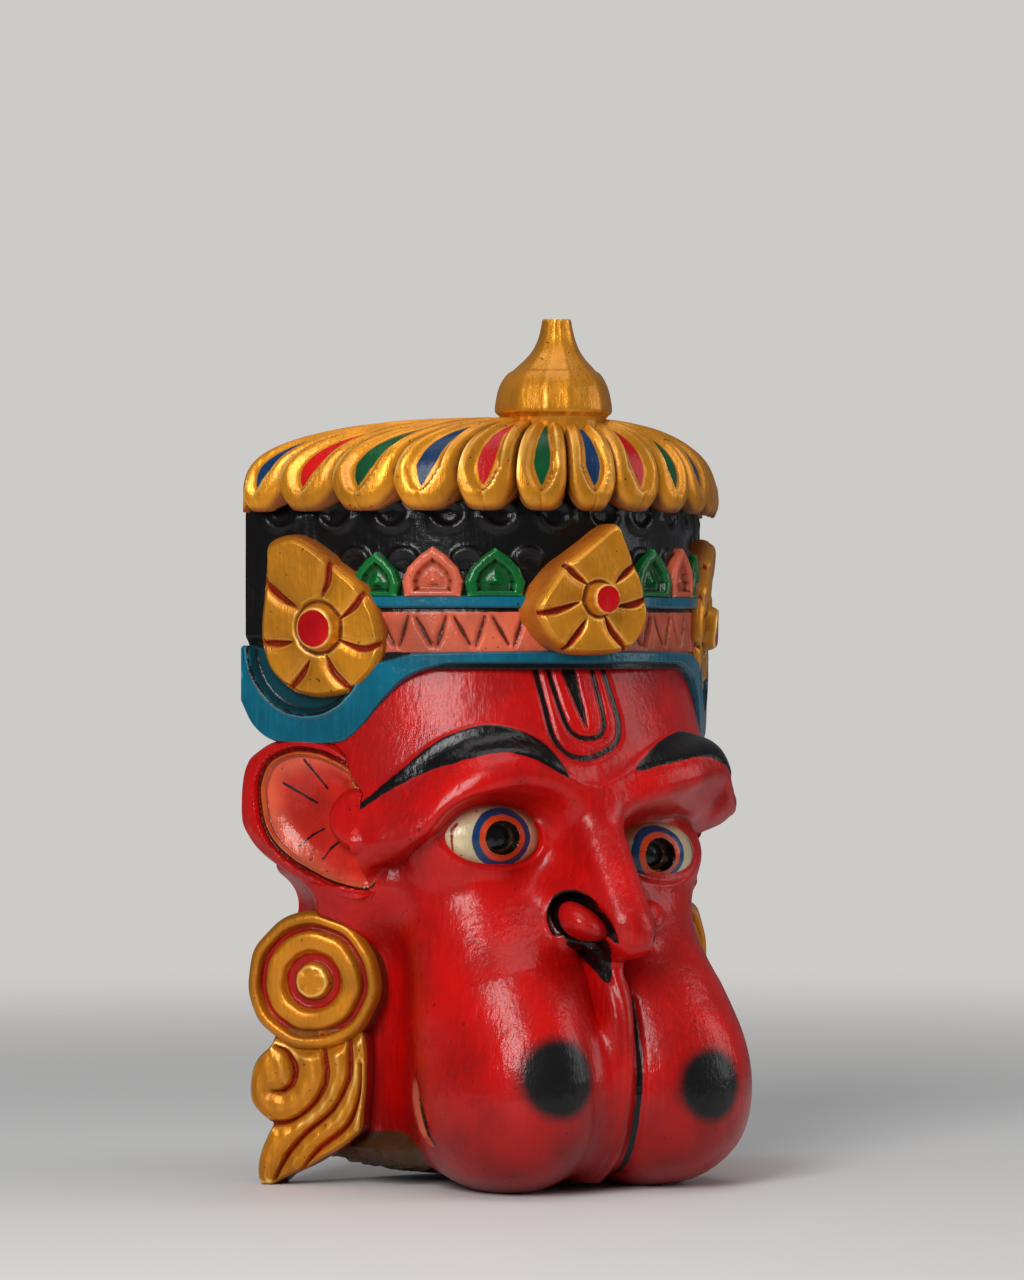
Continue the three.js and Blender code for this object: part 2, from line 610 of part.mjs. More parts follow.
// A plain block, used to trim the carving flat at the back and the floor
function block(lo, hi) {
  const geometry = new THREE.BoxGeometry(hi[0] - lo[0], hi[1] - lo[1], hi[2] - lo[2]);
  geometry.translate((hi[0] + lo[0]) / 2, (hi[1] + lo[1]) / 2, (hi[2] + lo[2]) / 2);
  geometry.deleteAttribute('normal');
  geometry.deleteAttribute('uv');
  const merged = mergeVertices(geometry, 1e-4);
  const vertProperties = new Float32Array(merged.getAttribute('position').array);
  const triVerts = new Uint32Array(merged.index.array);
  return new wasm.Manifold(new wasm.Mesh({ numProp: 3, vertProperties, triVerts }));
}

// Everything joined into the one piece of wood
function mask() {
  const onSide = (side) => [eye(side), scroll(side), ear(side), earKnob(side), ...earring(side)];
  const carved = [carvedHead(), crown(), cap(), finial(), ...rosettes(), ...leaves(), ...curls(),
    ...onSide(-1), ...onSide(1)];
  const whole = carved.reduce((sum, body) => sum.add(body)).subtract(hollow());
  return whole.intersect(block([-130, BACK_Y - 140, 0], [130, BACK_Y, HEIGHT + 1]));
}

function geometryOf(manifold) {
  const mesh = manifold.getMesh();
  const geometry = new THREE.BufferGeometry();
  geometry.setAttribute('position', new THREE.BufferAttribute(mesh.vertProperties, 3));
  geometry.setIndex(new THREE.BufferAttribute(mesh.triVerts, 1));
  geometry.computeVertexNormals();
  return geometry;
}

const redLacquer = new THREE.MeshStandardMaterial({ color: 0xb51a1a, roughness: 0.3, metalness: 0 });
const part = new THREE.Group();
const maskMesh = new THREE.Mesh(geometryOf(mask()), redLacquer);
maskMesh.name = 'mask';
part.add(maskMesh);

export default part;
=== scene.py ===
# %% [markdown]
# # A carved and painted wooden mask with a monkey's face
#
# The real mask is one block of wood: a red monkey face under a crown with a cap of petals and a
# finial, cut flat behind and scooped out. Carvers work such a block from the big masses down to
# the grooves, and painters then lay lacquer, gold and black lines over it. This lesson follows the
# same order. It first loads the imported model, whose frame and size every piece here keeps.

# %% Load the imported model
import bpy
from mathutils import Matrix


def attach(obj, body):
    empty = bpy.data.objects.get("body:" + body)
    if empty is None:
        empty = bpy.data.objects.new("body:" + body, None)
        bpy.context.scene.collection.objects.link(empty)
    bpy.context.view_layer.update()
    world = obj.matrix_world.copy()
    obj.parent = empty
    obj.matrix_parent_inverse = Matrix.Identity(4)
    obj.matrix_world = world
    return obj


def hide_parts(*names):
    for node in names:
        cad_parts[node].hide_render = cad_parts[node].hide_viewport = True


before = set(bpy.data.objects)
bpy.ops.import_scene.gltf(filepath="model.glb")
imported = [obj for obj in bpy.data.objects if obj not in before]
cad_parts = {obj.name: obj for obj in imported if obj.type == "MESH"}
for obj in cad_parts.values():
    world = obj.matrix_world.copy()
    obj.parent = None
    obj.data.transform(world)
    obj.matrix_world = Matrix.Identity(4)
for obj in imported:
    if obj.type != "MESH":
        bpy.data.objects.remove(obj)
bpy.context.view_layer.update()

import bmesh
import bpy
import numpy as np

# %% [markdown]
# ## Places
#
# A carver measures from the flat back and from the bench, so places are worked out as (x, d, z) in
# millimetres: x to the right as one faces the mask, d forward from the back, z up. Blender wants
# metres with y going backwards, so one function turns whole arrays of places into its frame.

# %% Places
BACK = 59.0                 # y of the flat back in millimetres
PI = np.pi


def metres(points):
    """(x, d, z) in millimetres becomes (x, BACK - d, z) / 1000."""
    points = np.asarray(points, float)
    return np.stack([points[..., 0], BACK - points[..., 1], points[..., 2]], -1) / 1000


print("the bottom of the flat back, m:", metres([0, 0, 0]))

# %% [markdown]
# ## The camera
#
# The photograph was taken level with the eyes, 30 degrees to the left, from about two metres. From
# there a long lens fills the frame, and near parts hardly grow against far ones. A short lens close
# by would fill it too, but would blow up the muzzle.

# %% The camera
CAMERA_PLACE = (-0.9889, -1.6794, 0.200)
CAMERA_TURN = -PI / 6
LENS, SENSOR = 149.2, 36    # millimetres

camera_data = bpy.data.cameras.new("camera")
camera_data.sensor_fit = "VERTICAL"
camera_data.sensor_height = SENSOR
camera_data.lens = LENS
camera = bpy.data.objects.new("camera", camera_data)
camera.location = CAMERA_PLACE
camera.rotation_euler = (PI / 2, 0, CAMERA_TURN)
bpy.context.scene.collection.objects.link(camera)
bpy.context.scene.camera = camera
print("camera, m:", CAMERA_PLACE, "angle of view, degrees:", round(np.degrees(camera_data.angle), 2))

# %% [markdown]
# ## Steps and bumps
#
# Carving leaves soft steps and rounded ribs. Each can be said with a short sum over one number: a
# smooth step between two values, or a bump round one. The sums take whole arrays of points at
# once, so there is no loop over points.

# %% Steps and bumps


def ease(v, lo, hi):
    """3t^2 - 2t^3, where t runs from 0 at lo to 1 at hi."""
    t = np.clip((v - lo) / (hi - lo), 0, 1)
    return t * t * (3 - 2 * t)


def bump(v, centre, width):
    """exp(-((v - centre) / width)^2)"""
    return np.exp(-((v - centre) / width) ** 2)


def along(v, pairs):
    """The value at v on a line through (place, value) pairs, eased between neighbours."""
    at, value = np.array(pairs, float).T
    i = np.clip(np.searchsorted(at, v, side="right") - 1, 0, len(at) - 2)
    return value[i] + (value[i + 1] - value[i]) * ease(v, at[i], at[i + 1])


print("a step at its start, quarter, half and end:", ease(np.array([0, 0.25, 0.5, 1]), 0, 1))

# %% [markdown]
# ## Fields
#
# A body can be given as a field: a sum that says for each point of space how far it is from the
# body, and is negative inside. Two fields are joined with a rounded inner corner, or one is cut
# away from the other, as a gouge leaves it. Booleans on meshes would leave sharp, broken seams.

# %% Fields


def blend(a, b, k):
    """The join of two fields: the lesser, less h^2 k / 4, where h is how close they are in k."""
    h = np.maximum(k - np.abs(a - b), 0) / k
    return np.minimum(a, b) - h * h * k / 4


def carve(a, b, k):
    """Field a with body b cut away: -blend(-a, b)."""
    return -blend(-a, b, k)


def both(a, b, k):
    """What two bodies share: -blend(-a, -b)."""
    return -blend(-a, -b, k)


def rod(x, d, z, a, b, ra, rb):
    """Distance to the line from a to b, less a radius that goes from ra to rb along it."""
    ab = np.subtract(b, a)
    ax, ad, az = x - a[0], d - a[1], z - a[2]
    t = np.clip((ax * ab[0] + ad * ab[1] + az * ab[2]) / (ab @ ab), 0, 1)
    gap = np.sqrt((ax - ab[0] * t) ** 2 + (ad - ab[1] * t) ** 2 + (az - ab[2] * t) ** 2)
    return gap - (ra + (rb - ra) * t)


def ellipsoid(x, d, z, hx, hd, hz):
    """(|(x/hx, d/hd, z/hz)| - 1) times the shortest half."""
    return (np.sqrt((x / hx) ** 2 + (d / hd) ** 2 + (z / hz) ** 2) - 1) * min(hx, hd, hz)


def say(name, field, *place):
    """Prints how deep a place lies in a field's body: minus the field there."""
    print(f"{name}: the place {place} lies {-float(field(*place)):.1f} mm inside")


say("a ball of 10 mm", lambda x, d, z: ellipsoid(x, d, z, 10, 10, 10), 4, 0, 0)

# %% [markdown]
# ## Drawn lines
#
# Brows, strokes, petals and leaves start as a line drawn with a few points. A smooth curve goes
# through them, and each point of the surface then learns how far it is from that curve. The
# carving and the paint both use this distance, so a black stroke lies exactly in its groove.

# %% Curves and distances to them


def curve(points, per=8, closed=False):
    """Catmull-Rom: on each stretch (2b + (c-a)t + (2a-5b+4c-e)t^2 + (3b-a-3c+e)t^3) / 2."""
    p = np.asarray(points, float)
    ends = (p[-1:], p[:2]) if closed else (2 * p[:1] - p[1:2], 2 * p[-1:] - p[-2:-1])
    q = np.concatenate([ends[0], p, ends[1]])
    a, b, c, e = (q[i:len(q) - 3 + i, None] for i in range(4))
    t = (np.arange(per) / per)[None, :, None]
    line = (2 * b + (c - a) * t + (2 * a - 5 * b + 4 * c - e) * t ** 2
            + (3 * b - a - 3 * c + e) * t ** 3) / 2
    line = line.reshape(-1, p.shape[1])
    return line if closed else np.concatenate([line, p[-1:]])


def through(v, points, column=1):
    """The value at v on the smooth curve through the points."""
    line = curve(points)
    return np.interp(v, line[:, 0], line[:, column])


def stroke(u, v, line):
    """Distance to a line of (u, v, half width) points, less the half width there."""
    best = np.full(np.shape(u), 99.0)
    for a, b in zip(line[:-1], line[1:]):
        ab = b[:2] - a[:2]
        t = np.clip(((u - a[0]) * ab[0] + (v - a[1]) * ab[1]) / max(ab @ ab, 1e-9), 0, 1)
        gap = np.hypot(u - a[0] - ab[0] * t, v - a[1] - ab[1] * t)
        best = np.minimum(best, gap - (a[2] + (b[2] - a[2]) * t))
    return best


def area(u, v, outline):
    """Distance to a closed outline, negative inside, where a ray crosses it an odd number of times."""
    loop = np.concatenate([outline, outline[:1]])
    gap = stroke(u, v, np.c_[loop, np.zeros(len(loop))])
    inside = np.zeros(np.shape(u), bool)
    for a, b in zip(loop[:-1], loop[1:]):
        crosses = (a[1] > v) != (b[1] > v)
        rise = b[1] - a[1] if b[1] != a[1] else 1e-9
        inside ^= crosses & (u < a[0] + (v - a[1]) * (b[0] - a[0]) / rise)
    return np.where(inside, -gap, gap)


print("a closed curve through 4 points has", len(curve([(0, 0), (1, 0), (1, 1), (0, 1)], closed=True)), "points")

# %% [markdown]
# ## Grids and their numbers
#
# Each shape here is a grid of points, row by row, so the faces between them follow from counting.
# Numbers go in and out of a mesh in one go, as arrays. A number that is stored on each point can be
# read by a material, which is how a painted line finds its place.

# %% Faces of a grid


def grid_faces(rows, columns, start=0, wrap=False):
    """Four-sided faces of a grid whose points are numbered row by row."""
    ids = start + np.arange(rows * columns).reshape(rows, columns)
    if wrap:
        ids = np.concatenate([ids, ids[:, :1]], 1)
    return np.stack([ids[:-1, :-1], ids[1:, :-1], ids[1:, 1:], ids[:-1, 1:]], -1).reshape(-1, 4)


def read(items, key, size=1, kind=np.float32):
    """One property of all the items as an array, with size numbers for each item."""
    values = np.empty(len(items) * size, kind)
    items.foreach_get(key, values)
    return values.reshape(-1, size) if size > 1 else values


def store(mesh, name, values):
    """One number for each point, kept on the mesh under a name."""
    attribute = mesh.attributes.new(name, "FLOAT", "POINT")
    attribute.data.foreach_set("value", np.ascontiguousarray(values, np.float32))


print("faces of a 3 by 4 grid:", len(grid_faces(3, 4)), "and as a ring:", len(grid_faces(3, 4, wrap=True)))

# %% [markdown]
# ## Where a surface bends
#
# Old varnish and dirt gather in grooves, and gold wears bright on edges. Grooves also lie in shade
# and edges catch the light, so the same number gives painted shade as well as dirt in grooves, and
# a painted highlight as well as wear on edges. So every point gets a number called bend, above zero
# in a groove and below zero on an edge. It comes from how far the neighbours' mean lies off the
# surface. Blender's Pointiness says much the same.

# %% Where a surface bends


def mesh_bend(mesh, rounds=3):
    """2 (mean of neighbours - point) . normal / edge^2 in 1/mm, averaged with its neighbours."""
    count = len(mesh.vertices)
    co = read(mesh.vertices, "co", 3) * 1000
    normals = read(mesh.vertex_normals, "vector", 3)
    a, b = read(mesh.edges, "vertices", 2, np.int32).T
    near = np.maximum(np.bincount(a, minlength=count) + np.bincount(b, minlength=count), 1)

    def gather(values):
        return (np.bincount(a, values[b], count) + np.bincount(b, values[a], count)) / near

    step = co[b] - co[a]
    square = (step ** 2).sum(1)
    lengths = (np.bincount(a, square, count) + np.bincount(b, square, count)) / near
    away = np.stack([gather(co[:, k]) for k in range(3)], 1) - co
    bend = 2 * (away * normals).sum(1) / np.maximum(lengths, 1e-4)
    bend = np.clip(bend, -3, 3)
    for _ in range(rounds):
        bend = (bend + gather(bend)) / 2
    return bend


ball = bpy.data.meshes.new("trial ball")
work = bmesh.new()
bmesh.ops.create_icosphere(work, subdivisions=4, radius=0.01)
work.to_mesh(ball)
work.free()
print("bend of a ball of 10 mm, 1/mm:", round(float(mesh_bend(ball).mean()), 3))
bpy.data.meshes.remove(ball)

# %% [markdown]
# ## A mesh becomes a piece
#
# One function finishes every mesh. Doubled points at a pole are merged, and faces are turned
# outward, which a closed mesh shows by a volume above zero. The flat back was never painted, so
# faces on it are bare wood. Each piece then rides on the one body of the mask.

# %% A mesh becomes a piece
ON_THE_BACK = 0.6           # millimetres


def closed_mesh(name, points, faces, values):
    """Points and faces as a mesh: doubles merged, and turned over where the volume is below zero."""
    mesh = bpy.data.meshes.new(name)
    mesh.from_pydata(metres(points).tolist(), [], faces)
    for key, per_point in values.items():
        store(mesh, key, per_point)
    work = bmesh.new()
    work.from_mesh(mesh)
    bmesh.ops.remove_doubles(work, verts=work.verts, dist=2e-6)
    bmesh.ops.dissolve_degenerate(work, edges=work.edges, dist=1e-6)
    bmesh.ops.recalc_face_normals(work, faces=work.faces)
    if work.calc_volume(signed=True) < 0:
        bmesh.ops.reverse_faces(work, faces=work.faces)
    work.to_mesh(mesh)
    work.free()
    return mesh


def wood_behind(mesh, d):
    """Faces with all corners on the back, whose normal looks backwards, get the second material."""
    flat = (d < ON_THE_BACK)[read(mesh.loops, "vertex_index", kind=np.int32)].astype(int)
    on_back = np.add.reduceat(flat, read(mesh.polygons, "loop_start", kind=np.int32))
    on_back = on_back == read(mesh.polygons, "loop_total", kind=np.int32)
    behind = on_back & (read(mesh.polygons, "normal", 3)[:, 1] > 0.8)
    mesh.polygons.foreach_set("material_index", behind.astype(np.int32))


def make_piece(name, points, faces, finish, slot, paint=None, values=None, sharp=38, cut_wood=True):
    """A closed mesh with its finish and its painted distances: paint(x, d, z), or values per point."""
    mesh = closed_mesh(name, points, faces, values or {})
    mesh.materials.append(finish)
    mesh.materials.append(bare_wood)
    x, y, z = read(mesh.vertices, "co", 3).T.astype(float) * 1000
    d = BACK - y
    store(mesh, "bend", mesh_bend(mesh))
    for key, distances in (paint(x, d, z) if paint else {}).items():
        store(mesh, key, distances)
    mesh.shade_smooth()
    mesh.set_sharp_from_angle(angle=np.radians(sharp))
    if cut_wood:
        wood_behind(mesh, d)
    piece = bpy.data.objects.new(name, mesh)
    bpy.context.scene.collection.objects.link(piece)
    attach(piece, "root")
    print(name, "triangles:", len(mesh.loops) - 2 * len(mesh.polygons))
    return piece


def ring_piece(name, rings, finish, slot, values=None, **options):
    """Rings of points, closed by a middle point before the first ring and one after the last."""
    rings = np.asarray(rings, float)
    ends = [np.broadcast_to(ring.mean(0), ring.shape) for ring in (rings[0], rings[-1])]
    stack = np.concatenate([ends[0][None], rings, ends[1][None]])
    stack[..., 1] = np.maximum(stack[..., 1], 0.25)
    faces = grid_faces(stack.shape[0], stack.shape[1], wrap=True).tolist()
    values = {key: np.concatenate([v[:1], v, v[-1:]]).ravel() for key, v in (values or {}).items()}
    return make_piece(name, stack.reshape(-1, 3), faces, finish, slot, values=values, **options)


print("one maker for every piece; faces closer than", ON_THE_BACK, "mm to the back become wood")

# %% [markdown]
# ## Plates
#
# Ears, earrings and flowers are carved as plates that face their own way. A seat says where such
# a plate's middle is and how it is turned: right, up and out of it are three directions, and a
# point on the plate is (a, b, h) along them.

# %% Seats for plates


def seat(x, d, z, turn, lean=0):
    """Middle and the three directions of a plate turned sideways by turn and tipped back by lean."""
    t, n = np.radians(turn), np.radians(lean)
    right = [np.cos(t), -np.sin(t), 0]
    up = [-np.sin(t) * np.sin(n), -np.cos(t) * np.sin(n), np.cos(n)]
    out = [np.sin(t) * np.cos(n), np.cos(t) * np.cos(n), np.sin(n)]
    return np.array([x, d, z], float), np.array([right, up, out])


def on_seat(place, a, b, h):
    """middle + a right + b up + h out"""
    middle, axes = place
    a, b, h = np.broadcast_arrays(a, b, h)
    return middle + a[..., None] * axes[0] + b[..., None] * axes[1] + h[..., None] * axes[2]


def from_seat(place, x, d, z):
    """The (a, b, h) of points: their offset from the middle, measured along the three directions."""
    middle, axes = place
    offset = np.stack([x - middle[0], d - middle[1], z - middle[2]], -1)
    return (offset @ axes[0], offset @ axes[1], offset @ axes[2])


def swapped(place, side):
    """The same plate with right turned over on the mask's right side, so drawings mirror."""
    middle, axes = place
    return (middle, axes * np.array([[-side], [1], [1]]))


print("5 mm out of a plate turned by 90 degrees:", on_seat(seat(0, 0, 0, 90), 0.0, 0.0, 5.0).round(2))


# %% [markdown]
# ## Materials
#
# Everything is painted wood under a clear lacquer. The colours lie in layers: a base, then
# brushed shapes on top. Each layer reads one stored distance and is solid where that is below
# zero, with a slightly uneven edge as from a brush. Long noise along the height gives the
# strokes, fine noise gives specks, and the bend number darkens grooves with painted shade and
# dirt, and lightens edges with a painted highlight.

# %% Node helpers


def rgb(red, green, blue):
    """Screen values from 0 to 255 become linear light: ((v + 0.055) / 1.055)^2.4."""
    v = np.array([red, green, blue]) / 255
    return (*np.where(v < 0.04045, v / 12.92, ((v + 0.055) / 1.055) ** 2.4), 1.0)


def new_material(name):
    """An empty node material, its tree, and the place of each point in its object's own frame."""
    material = bpy.data.materials.new(name)
    material.use_nodes = True
    tree = material.node_tree
    tree.nodes.clear()
    return material, tree, node(tree, "ShaderNodeTexCoord").outputs["Object"]


def node(tree, kind, inputs=None, **settings):
    """One node: sockets among the inputs are linked, and numbers are set."""
    made = tree.nodes.new(kind)
    for key, value in settings.items():
        setattr(made, key, value)
    for key, value in (inputs or {}).items():
        if isinstance(value, bpy.types.NodeSocket):
            tree.links.new(value, made.inputs[key])
        else:
            made.inputs[key].default_value = value
    return made


def mixed(tree, factor, a, b):
    """Colour a + (b - a) factor."""
    return node(tree, "ShaderNodeMix", {0: factor, 6: a, 7: b}, data_type="RGBA").outputs[2]


def calc(tree, how, a, b=0.0):
    """a and b joined by the named sum."""
    return node(tree, "ShaderNodeMath", {0: a, 1: b}, operation=how).outputs[0]


def times(tree, a, b):
    """a b"""
    return calc(tree, "MULTIPLY", a, b)


def ramp(tree, value, low, high, to_low=0.0, to_high=1.0):
    """to_low + (to_high - to_low) ease(value), from low to high."""
    return node(tree, "ShaderNodeMapRange", {0: value, 1: low, 2: high, 3: to_low, 4: to_high},
                interpolation_type="SMOOTHSTEP").outputs[0]


def stored(tree, name):
    """The number that the mesh keeps on each point under this name."""
    return node(tree, "ShaderNodeAttribute", attribute_name=name).outputs["Fac"]


def noise(tree, where, scale, detail=3.0, rough=0.55, stretch=None):
    """Smooth noise from 0 to 1, with scale lumps to the metre, or stretch lumps along x, y and z."""
    if stretch:
        where = node(tree, "ShaderNodeMapping", {"Vector": where, "Scale": stretch}).outputs[0]
    return node(tree, "ShaderNodeTexNoise", {"Vector": where, "Scale": scale, "Detail": detail,
                                             "Roughness": rough}).outputs[0]


print("screen grey 128 as linear light:", round(float(rgb(128, 128, 128)[0]), 3))

# %% [markdown]
# ### The coats of a paint
#
# On the real mask a coat of paint lies over wood, brown gathers in the grooves, and shapes are
# brushed on top. The same order holds here: a ground coat with cloudy and streaky tone, its grooves
# darkened as painted shade and dirt and its edges lit as a painted highlight, then the layers, and
# last the specks and scratches of age. Noise stretched along the height gives brush strokes. An
# image would be quicker to paint but would blur close up.

# %% The coats of a paint
STROKES = (620, 620, 75)        # lumps to the metre: narrow across the brush, long down it
SCRATCHES = (2300, 2300, 120)


def shaded(colour, factor, more=0.0):
    """Each part of a colour times a factor, plus a little, up to 1."""
    return tuple(min(v * factor + more, 1) for v in colour[:3]) + (1.0,)


def ground_coat(tree, base, groove, edge, streak, shade_and_dirt_bends, cloud, strokes):
    """The base, darker in clouds and lighter in strokes, with a painted highlight on edges, and the groove's
    colour in grooves as painted shade and dirt.
    """
    bend = stored(tree, "bend")
    colour = mixed(tree, ramp(tree, cloud, 0.35, 0.7), shaded(base, 0.62), base)
    colour = mixed(tree, times(tree, ramp(tree, strokes, 0.45, 0.8), streak), colour, shaded(base, 1.25, 0.002))
    # painted highlight: the edge colour on convex edges, where light catches them
    if edge:
        colour = mixed(tree, times(tree, ramp(tree, bend, -0.1, -0.5), 0.8), colour, edge)
    # painted shade and dirt: the groove colour where the surface bends in
    shade_and_dirt = ramp(tree, calc(tree, "ADD", bend, times(tree, cloud, 0.08)), *shade_and_dirt_bends)
    return mixed(tree, shade_and_dirt, colour, groove), shade_and_dirt


def brushed_on(tree, colour, shine, layer, groove, shade_and_dirt, cloud, wobble):
    """A layer covers where its stored distance, plus a wobble, is below zero."""
    attribute, layer_colour, soft, layer_rough = layer
    gap = calc(tree, "ADD", stored(tree, attribute), wobble)
    cover = ramp(tree, gap, soft / 2, -soft / 2)
    brushed = mixed(tree, ramp(tree, cloud, 0.3, 0.65), shaded(layer_colour, 0.55), layer_colour)
    # the painted shade and dirt in grooves darkens each layer too
    brushed = mixed(tree, times(tree, shade_and_dirt, 0.7), brushed, groove)
    shine = node(tree, "ShaderNodeMix", {0: cover, 2: shine, 3: layer_rough}).outputs[0]
    return mixed(tree, cover, colour, brushed), shine, cover


def aged(tree, where, colour):
    """Specks and scratches, where two noises come near their highest."""
    specks = ramp(tree, noise(tree, where, 520, 1), 0.735, 0.76)
    colour = mixed(tree, times(tree, specks, 0.75), colour, rgb(34, 18, 14))
    scratches = ramp(tree, noise(tree, where, 1.0, 2, 0.5, SCRATCHES), 0.7, 0.76)
    return mixed(tree, times(tree, scratches, 0.35), colour, rgb(40, 16, 12))


print("a brush stroke is about", round(1000 / STROKES[0], 1), "mm wide and", round(1000 / STROKES[2]), "mm long")

# %% [markdown]
# ### One recipe for every paint
#
# A painter uses the same brush and the same varnish all over, so one recipe makes every paint.
# It takes the base colour, the colour of the painted shade and dirt in grooves, the layers and how
# metallic the base is. The height of the strokes goes into the bump, which breaks up the
# reflections as brush marks do, and a clear coat on top gives the varnish its second, sharper gloss.

# %% The paint recipe


def painted(name, base, groove, layers=(), metal=0.0, rough=0.34, coat=0.5, streak=0.5,
            edge=None, shade_and_dirt_bends=(0.06, 0.45)):
    """Base colour, grooves darkened with painted shade and dirt, then layers of (attribute, colour, softness in
    mm, roughness).
    """
    material, tree, where = new_material(name)
    cloud = noise(tree, where, 38, 4)
    strokes = noise(tree, where, 1.0, 5, 0.6, STROKES)
    colour, shade_and_dirt = ground_coat(tree, base, groove, edge, streak, shade_and_dirt_bends, cloud, strokes)
    shine = ramp(tree, cloud, 0.3, 0.75, rough * 1.25, rough * 0.75)
    metallic = times(tree, calc(tree, "SUBTRACT", 1.0, shade_and_dirt), metal) if metal else 0.0
    wobble = times(tree, calc(tree, "SUBTRACT", noise(tree, where, 260, 2), 0.5), 0.9)
    for layer in layers:
        colour, shine, cover = brushed_on(tree, colour, shine, layer, groove, shade_and_dirt, cloud, wobble)
        if metal:
            metallic = times(tree, metallic, calc(tree, "SUBTRACT", 1.0, cover))
    height = calc(tree, "ADD", times(tree, strokes, 0.6), times(tree, noise(tree, where, 900, 2), 0.12))
    height = calc(tree, "ADD", height, times(tree, noise(tree, where, 230, 3), 0.9))
    raised = node(tree, "ShaderNodeBump", {"Strength": 0.35, "Distance": 0.0009, "Height": height}).outputs[0]
    shader = node(tree, "ShaderNodeBsdfPrincipled", {
        "Base Color": aged(tree, where, colour), "Metallic": metallic, "Roughness": shine, "Normal": raised,
        "Coat Normal": raised, "Coat Weight": coat, "Coat Roughness": 0.1, "Specular IOR Level": 0.14})
    node(tree, "ShaderNodeOutputMaterial", {"Surface": shader.outputs[0]})
    return material


RED, DEEP_RED, BLACK, DARK = rgb(200, 10, 6), rgb(92, 4, 4), rgb(16, 14, 15), rgb(24, 15, 12)
GOLD, BROWN = rgb(228, 148, 36), rgb(104, 48, 14)
BLUE, GREEN, SALMON = rgb(10, 104, 128), rgb(12, 104, 44), rgb(222, 104, 74)
print("red lacquer reflects", RED[0].round(3), "of the red light,", RED[1].round(4), "of the green")

# %% [markdown]
# ### Bare wood
#
# The back and the hollow of such masks are left as cut. Wood grain is made of rings round the
# trunk's middle: here the rings are bent by noise and stretched along the height, over a pale
# brown, with pores as short dark dashes.

# %% Bare wood
PORES = (1700, 1700, 90)        # lumps to the metre


def wood_finish():
    """Sine of the distance from the trunk's middle plus noise, stretched along the height."""
    material, tree, where = new_material("bare wood")
    long_way = node(tree, "ShaderNodeMapping", {"Vector": where, "Scale": (1, 1, 0.09),
                                                "Location": (0.02, -0.03, 0)}).outputs[0]
    rings = node(tree, "ShaderNodeTexWave", {"Vector": long_way, "Scale": 62, "Distortion": 5.5,
                                             "Detail": 3, "Detail Scale": 1.6},
                 wave_type="RINGS", rings_direction="Z").outputs["Fac"]
    pores = ramp(tree, noise(tree, where, 1.0, 2, 0.5, PORES), 0.6, 0.72)
    cloud = noise(tree, where, 26, 3)
    colour = mixed(tree, rings, rgb(150, 104, 62), rgb(196, 148, 96))
    colour = mixed(tree, times(tree, pores, 0.5), colour, rgb(86, 52, 28))
    colour = mixed(tree, ramp(tree, cloud, 0.35, 0.7, 0.45, 0.0), colour, rgb(112, 72, 42))
    height = calc(tree, "ADD", times(tree, rings, 0.5), times(tree, pores, -0.6))
    raised = node(tree, "ShaderNodeBump", {"Strength": 0.4, "Distance": 0.0006, "Height": height}).outputs[0]
    shader = node(tree, "ShaderNodeBsdfPrincipled", {
        "Base Color": colour, "Roughness": ramp(tree, rings, 0, 1, 0.62, 0.8), "Normal": raised})
    node(tree, "ShaderNodeOutputMaterial", {"Surface": shader.outputs[0]})
    return material


bare_wood = wood_finish()
print("bare wood has", len(bare_wood.node_tree.nodes), "nodes and pores", round(1000 / PORES[2]), "mm long")

# %% [markdown]
# ## The face as a field
#
# The face is one field: an oval that leans forward to the brow, a jaw that narrows to a wedge,
# two hanging muzzle lobes, a nose and a brow bar. A field is easier here than a grid pulled by
# hand, because every join gets its own rounding, like a gouge of one width run along a corner.
# The hand-carved halves differ a little, so some numbers stand twice, for x below and above zero.

# %% Face and jaw
FACE_TOP = 205
EYE = {"x": 34.1, "d": 60, "half_x": 23.5, "half_d": 17.5, "half_z": 15, "turn": 11, -1: 128.5, 1: 121}


def by_side(x, left, right):
    """left where x is below zero, right elsewhere."""
    return np.where(x < 0, left, right)


def wedge(half_width, depth, flank):
    """Centre, radius and flank angle of a plan with a round front that runs into flat flanks."""
    f = np.radians(flank)
    centre = (half_width * np.sin(f) - depth) / (np.cos(f) - 1)
    return centre, depth - centre, f


def wedge_gap(plan, x, d):
    """Distance to the arc in front, or to the straight flank beside it."""
    centre, radius, f = plan
    away = d - centre
    arc = np.hypot(x, away) - radius
    flat = np.abs(x) * np.sin(f) + away * np.cos(f) - radius
    return np.where(np.arctan2(np.abs(x), away) < f, arc, flat)


JAW = wedge(80, 60, 48)


def face(x, d, z):
    """Half oval in plan, mixed into the jaw's wedge below the ears."""
    half = along(z, [(85, 79), (118, 84), (150, 84), (200, 80)])
    depth = along(z, [(95, 74), (118, 67), (136, 78), (158, 84), (205, 72)])
    oval = (np.hypot(x / half, d / depth) - 1) * depth
    t = ease(z, 82, 112)
    side = wedge_gap(JAW, x, d) * (1 - t) + oval * t
    return np.maximum(both(side, 12 - z, 8), z - FACE_TOP)


say("forehead", face, 0.0, 60.0, 190.0)

# %% [markdown]
# ### The muzzle
#
# Two heavy lobes hang side by side, squarer below than above, with a narrow upright roll of lip
# between them. Each lobe is a superellipsoid, which can be made squarer with one exponent. The
# cheeks run up from them as slanting rods, so the light falls off them in one long sweep.

